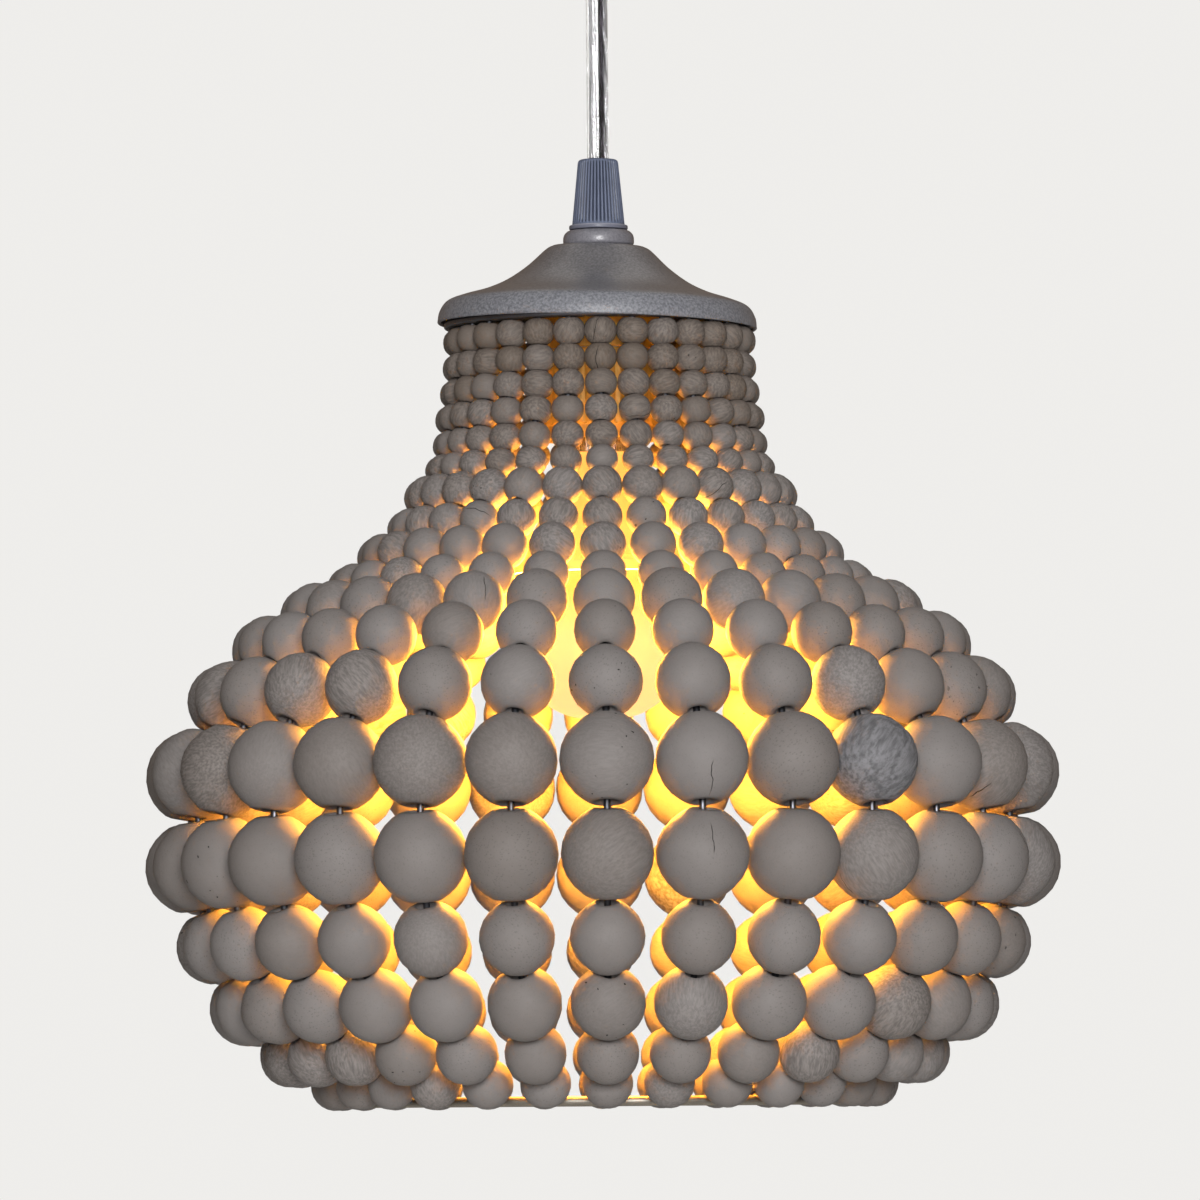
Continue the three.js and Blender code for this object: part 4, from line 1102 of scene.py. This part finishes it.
# %% Rose
ROSE_TOP, ROSE_FOOT, ROSE_RADIUS = size_of("rose_cover")
GLAND_TOP, GLAND_FOOT, GLAND_RADIUS = size_of("cord_gland")
ROSE_WALL, GLAND_HOLE, GLAND_NECK, GLAND_HEAD = 1.6 * MM, 5.3 * MM, 5 * MM, 2.7 * MM

rose_outline = rounded([
    (GLAND_HOLE, ROSE_FOOT), (ROSE_RADIUS, ROSE_FOOT), (ROSE_RADIUS, ROSE_TOP),
    (ROSE_RADIUS - ROSE_WALL, ROSE_TOP), (ROSE_RADIUS - ROSE_WALL, ROSE_FOOT + ROSE_WALL),
    (GLAND_HOLE, ROSE_FOOT + ROSE_WALL)],
    np.array([0.4, 8, 0.5, 0.5, 6.5, 0.4]) * MM, 10)
dress(turned("turned_rose", rose_outline, 128), "ceiling_rose", "grey_enamel", ENAMEL,
      "rose_cover")

gland_outline = rounded([
    (CORD_BORE, GLAND_FOOT), (GLAND_RADIUS, GLAND_FOOT), (GLAND_RADIUS, GLAND_FOOT + GLAND_HEAD),
    (GLAND_NECK, GLAND_FOOT + GLAND_HEAD), (GLAND_NECK, GLAND_TOP), (CORD_BORE, GLAND_TOP)],
    np.array([0.8, 1.8, 0.5, 0.1, 0.4, 0.2]) * MM, 7)
dress(turned("moulded_gland", gland_outline, 64), "ceiling_rose", "grey_plastic", GRIP_PLASTIC,
      "cord_gland")

# %% [markdown]
# ## Finishes for the solids that stay
#
# Hidden pieces and small fasteners keep their solid shapes. Each still gets the finish of what it
# is made of, because the lamp is also seen from below, from above and taken apart.

# %% Finish the remaining solids
STAYING = {
    "threaded_nipple": STEEL, "lock_nut": STEEL, "spider": STEEL, "ceiling_bracket": STEEL,
    "holder_insulator": CERAMIC, "terminal_screw_1": BRASS, "terminal_screw_2": BRASS,
    "screw_sleeve": BRASS, "centre_contact": BRASS, "bulb_tip_contact": BRASS,
    "bulb_base_insulator": BLACK_PLASTIC, "bulb_screw_base": BRIGHT, "led_board": BOARD,
    "driver_board": BOARD, "cover_screw_1": BRIGHT, "cover_screw_2": BRIGHT,
    "gland_nut": GRIP_PLASTIC, "terminal_block": WHITE_PLASTIC, "rose_cord": TINNED,
    "lamp_cord": TINNED,
}
for name, finish in STAYING.items():
    NODES[name].data.materials.clear()
    NODES[name].data.materials.append(finish)
shown = [name for name, node in NODES.items() if not node.hide_render]
print("solids that stay:", len(shown), "without a finish:", sorted(set(shown) - set(STAYING)))

# %% [markdown]
# ## Floor, background and light
#
# The lamp hangs in a plain pale room: a floor 2.4 m under the ceiling, and a pale background. What
# shines on the lamp mirrors that background in front, and darker, warmer walls at the sides and
# behind, which gives the cap and the wires their edges. One large soft lamp stands near the camera,
# because the beads are brightest in the middle and fall off evenly to their edges, another one
# lights the far side, and a faint one hangs overhead. The rest of the light on the beads comes from
# the globe inside the shade.

# %% Floor
FLOOR_LEVEL, FLOOR_REACH = -2.4, 14.0
PALE = (0.86, 0.85, 0.83)


def floor_finish():
    """A pale floor, as bright to the camera as the background behind it. It is see-through from
    below, so that a camera under it still sees the lamp."""
    finish, shader = new_finish("pale_floor", PALE, 0.9, Emission_Color=PALE,
                                Specular_IOR_Level=0.0)
    watched = add_node(shader, "ShaderNodeLightPath").outputs["Is Camera Ray"]
    feed(shader, Base_Color=tint(PALE, remap(watched, 0, 1, 1.0, 0.0)),
         Emission_Strength=watched)
    clear = add_node(shader, "ShaderNodeBsdfTransparent")
    below = add_node(shader, "ShaderNodeNewGeometry").outputs["Backfacing"]
    mix = add_node(shader, "ShaderNodeMixShader")
    for given, socket in zip((below, shader.outputs[0], clear.outputs[0]), mix.inputs):
        connect(given, socket)
    feed(finish.node_tree.nodes["Material Output"], Surface=mix.outputs[0])
    return finish


disc = round_points(np.array([0, FLOOR_REACH])[:, None], FLOOR_LEVEL, angles(64))
floor = grid_piece("floor", disc)
if floor.data.polygons[0].normal.z < 0:
    floor.data.flip_normals()
floor.data.materials.append(floor_finish())

# %% Background
WARM_WALL, WALL_AMBIENT = (0.60, 0.40, 0.26), 0.13

world = bpy.data.worlds.new("pale_room")
bpy.context.scene.world = world
world.use_nodes = True
background = world.node_tree.nodes["Background"]
rays = add_node(background, "ShaderNodeLightPath").outputs
mirrored = calculate("SUBTRACT", rays["Is Glossy Ray"], rays["Is Transmission Ray"], clamp=True)
sideways, depth, _ = split(add_node(background, "ShaderNodeTexCoord").outputs["Generated"])
away = larger(remap(calculate("ABSOLUTE", sideways), 0.3, 0.9), remap(depth, 0.0, 0.35))
seen = larger(rays["Is Camera Ray"], rays["Is Transmission Ray"])
shine = times(mirrored, remap(away, 0.0, 1.0, 0.85, 0.3))
feed(background, Color=blend_colours(times(away, mirrored), PALE, WARM_WALL),
     Strength=larger(larger(seen, shine), WALL_AMBIENT))


# %% Light
def soft_lamp(name, place, aim, size, power, mirrored=True):
    """A round area lamp that stands at its place and faces its aim. One that isn't mirrored lights
    matt surfaces only, and leaves no bright rim on glossy ones."""
    data = bpy.data.lights.new(name, "AREA")
    data.shape, data.size, data.energy = "DISK", size, power
    lamp = bpy.data.objects.new(name, data)
    lamp.location = place
    lamp.rotation_euler = (Vector(aim) - Vector(place)).to_track_quat("-Z", "Y").to_euler()
    lamp.visible_glossy = mirrored
    bpy.context.scene.collection.objects.link(lamp)


SHADE_MIDDLE = (0, 0, -0.28)
soft_lamp("front_light", (0.12, -3.2, 0.1), SHADE_MIDDLE, 1.1, 71)
soft_lamp("back_light", (0.3, 3.2, 0.1), SHADE_MIDDLE, 1.1, 60, mirrored=False)
soft_lamp("top_light", (0.1, 0.9, 1.6), (0, 0, -0.2), 1.6, 4)
print("lamps:", len(bpy.data.lights))

bpy.context.scene.view_settings.view_transform = "Standard"
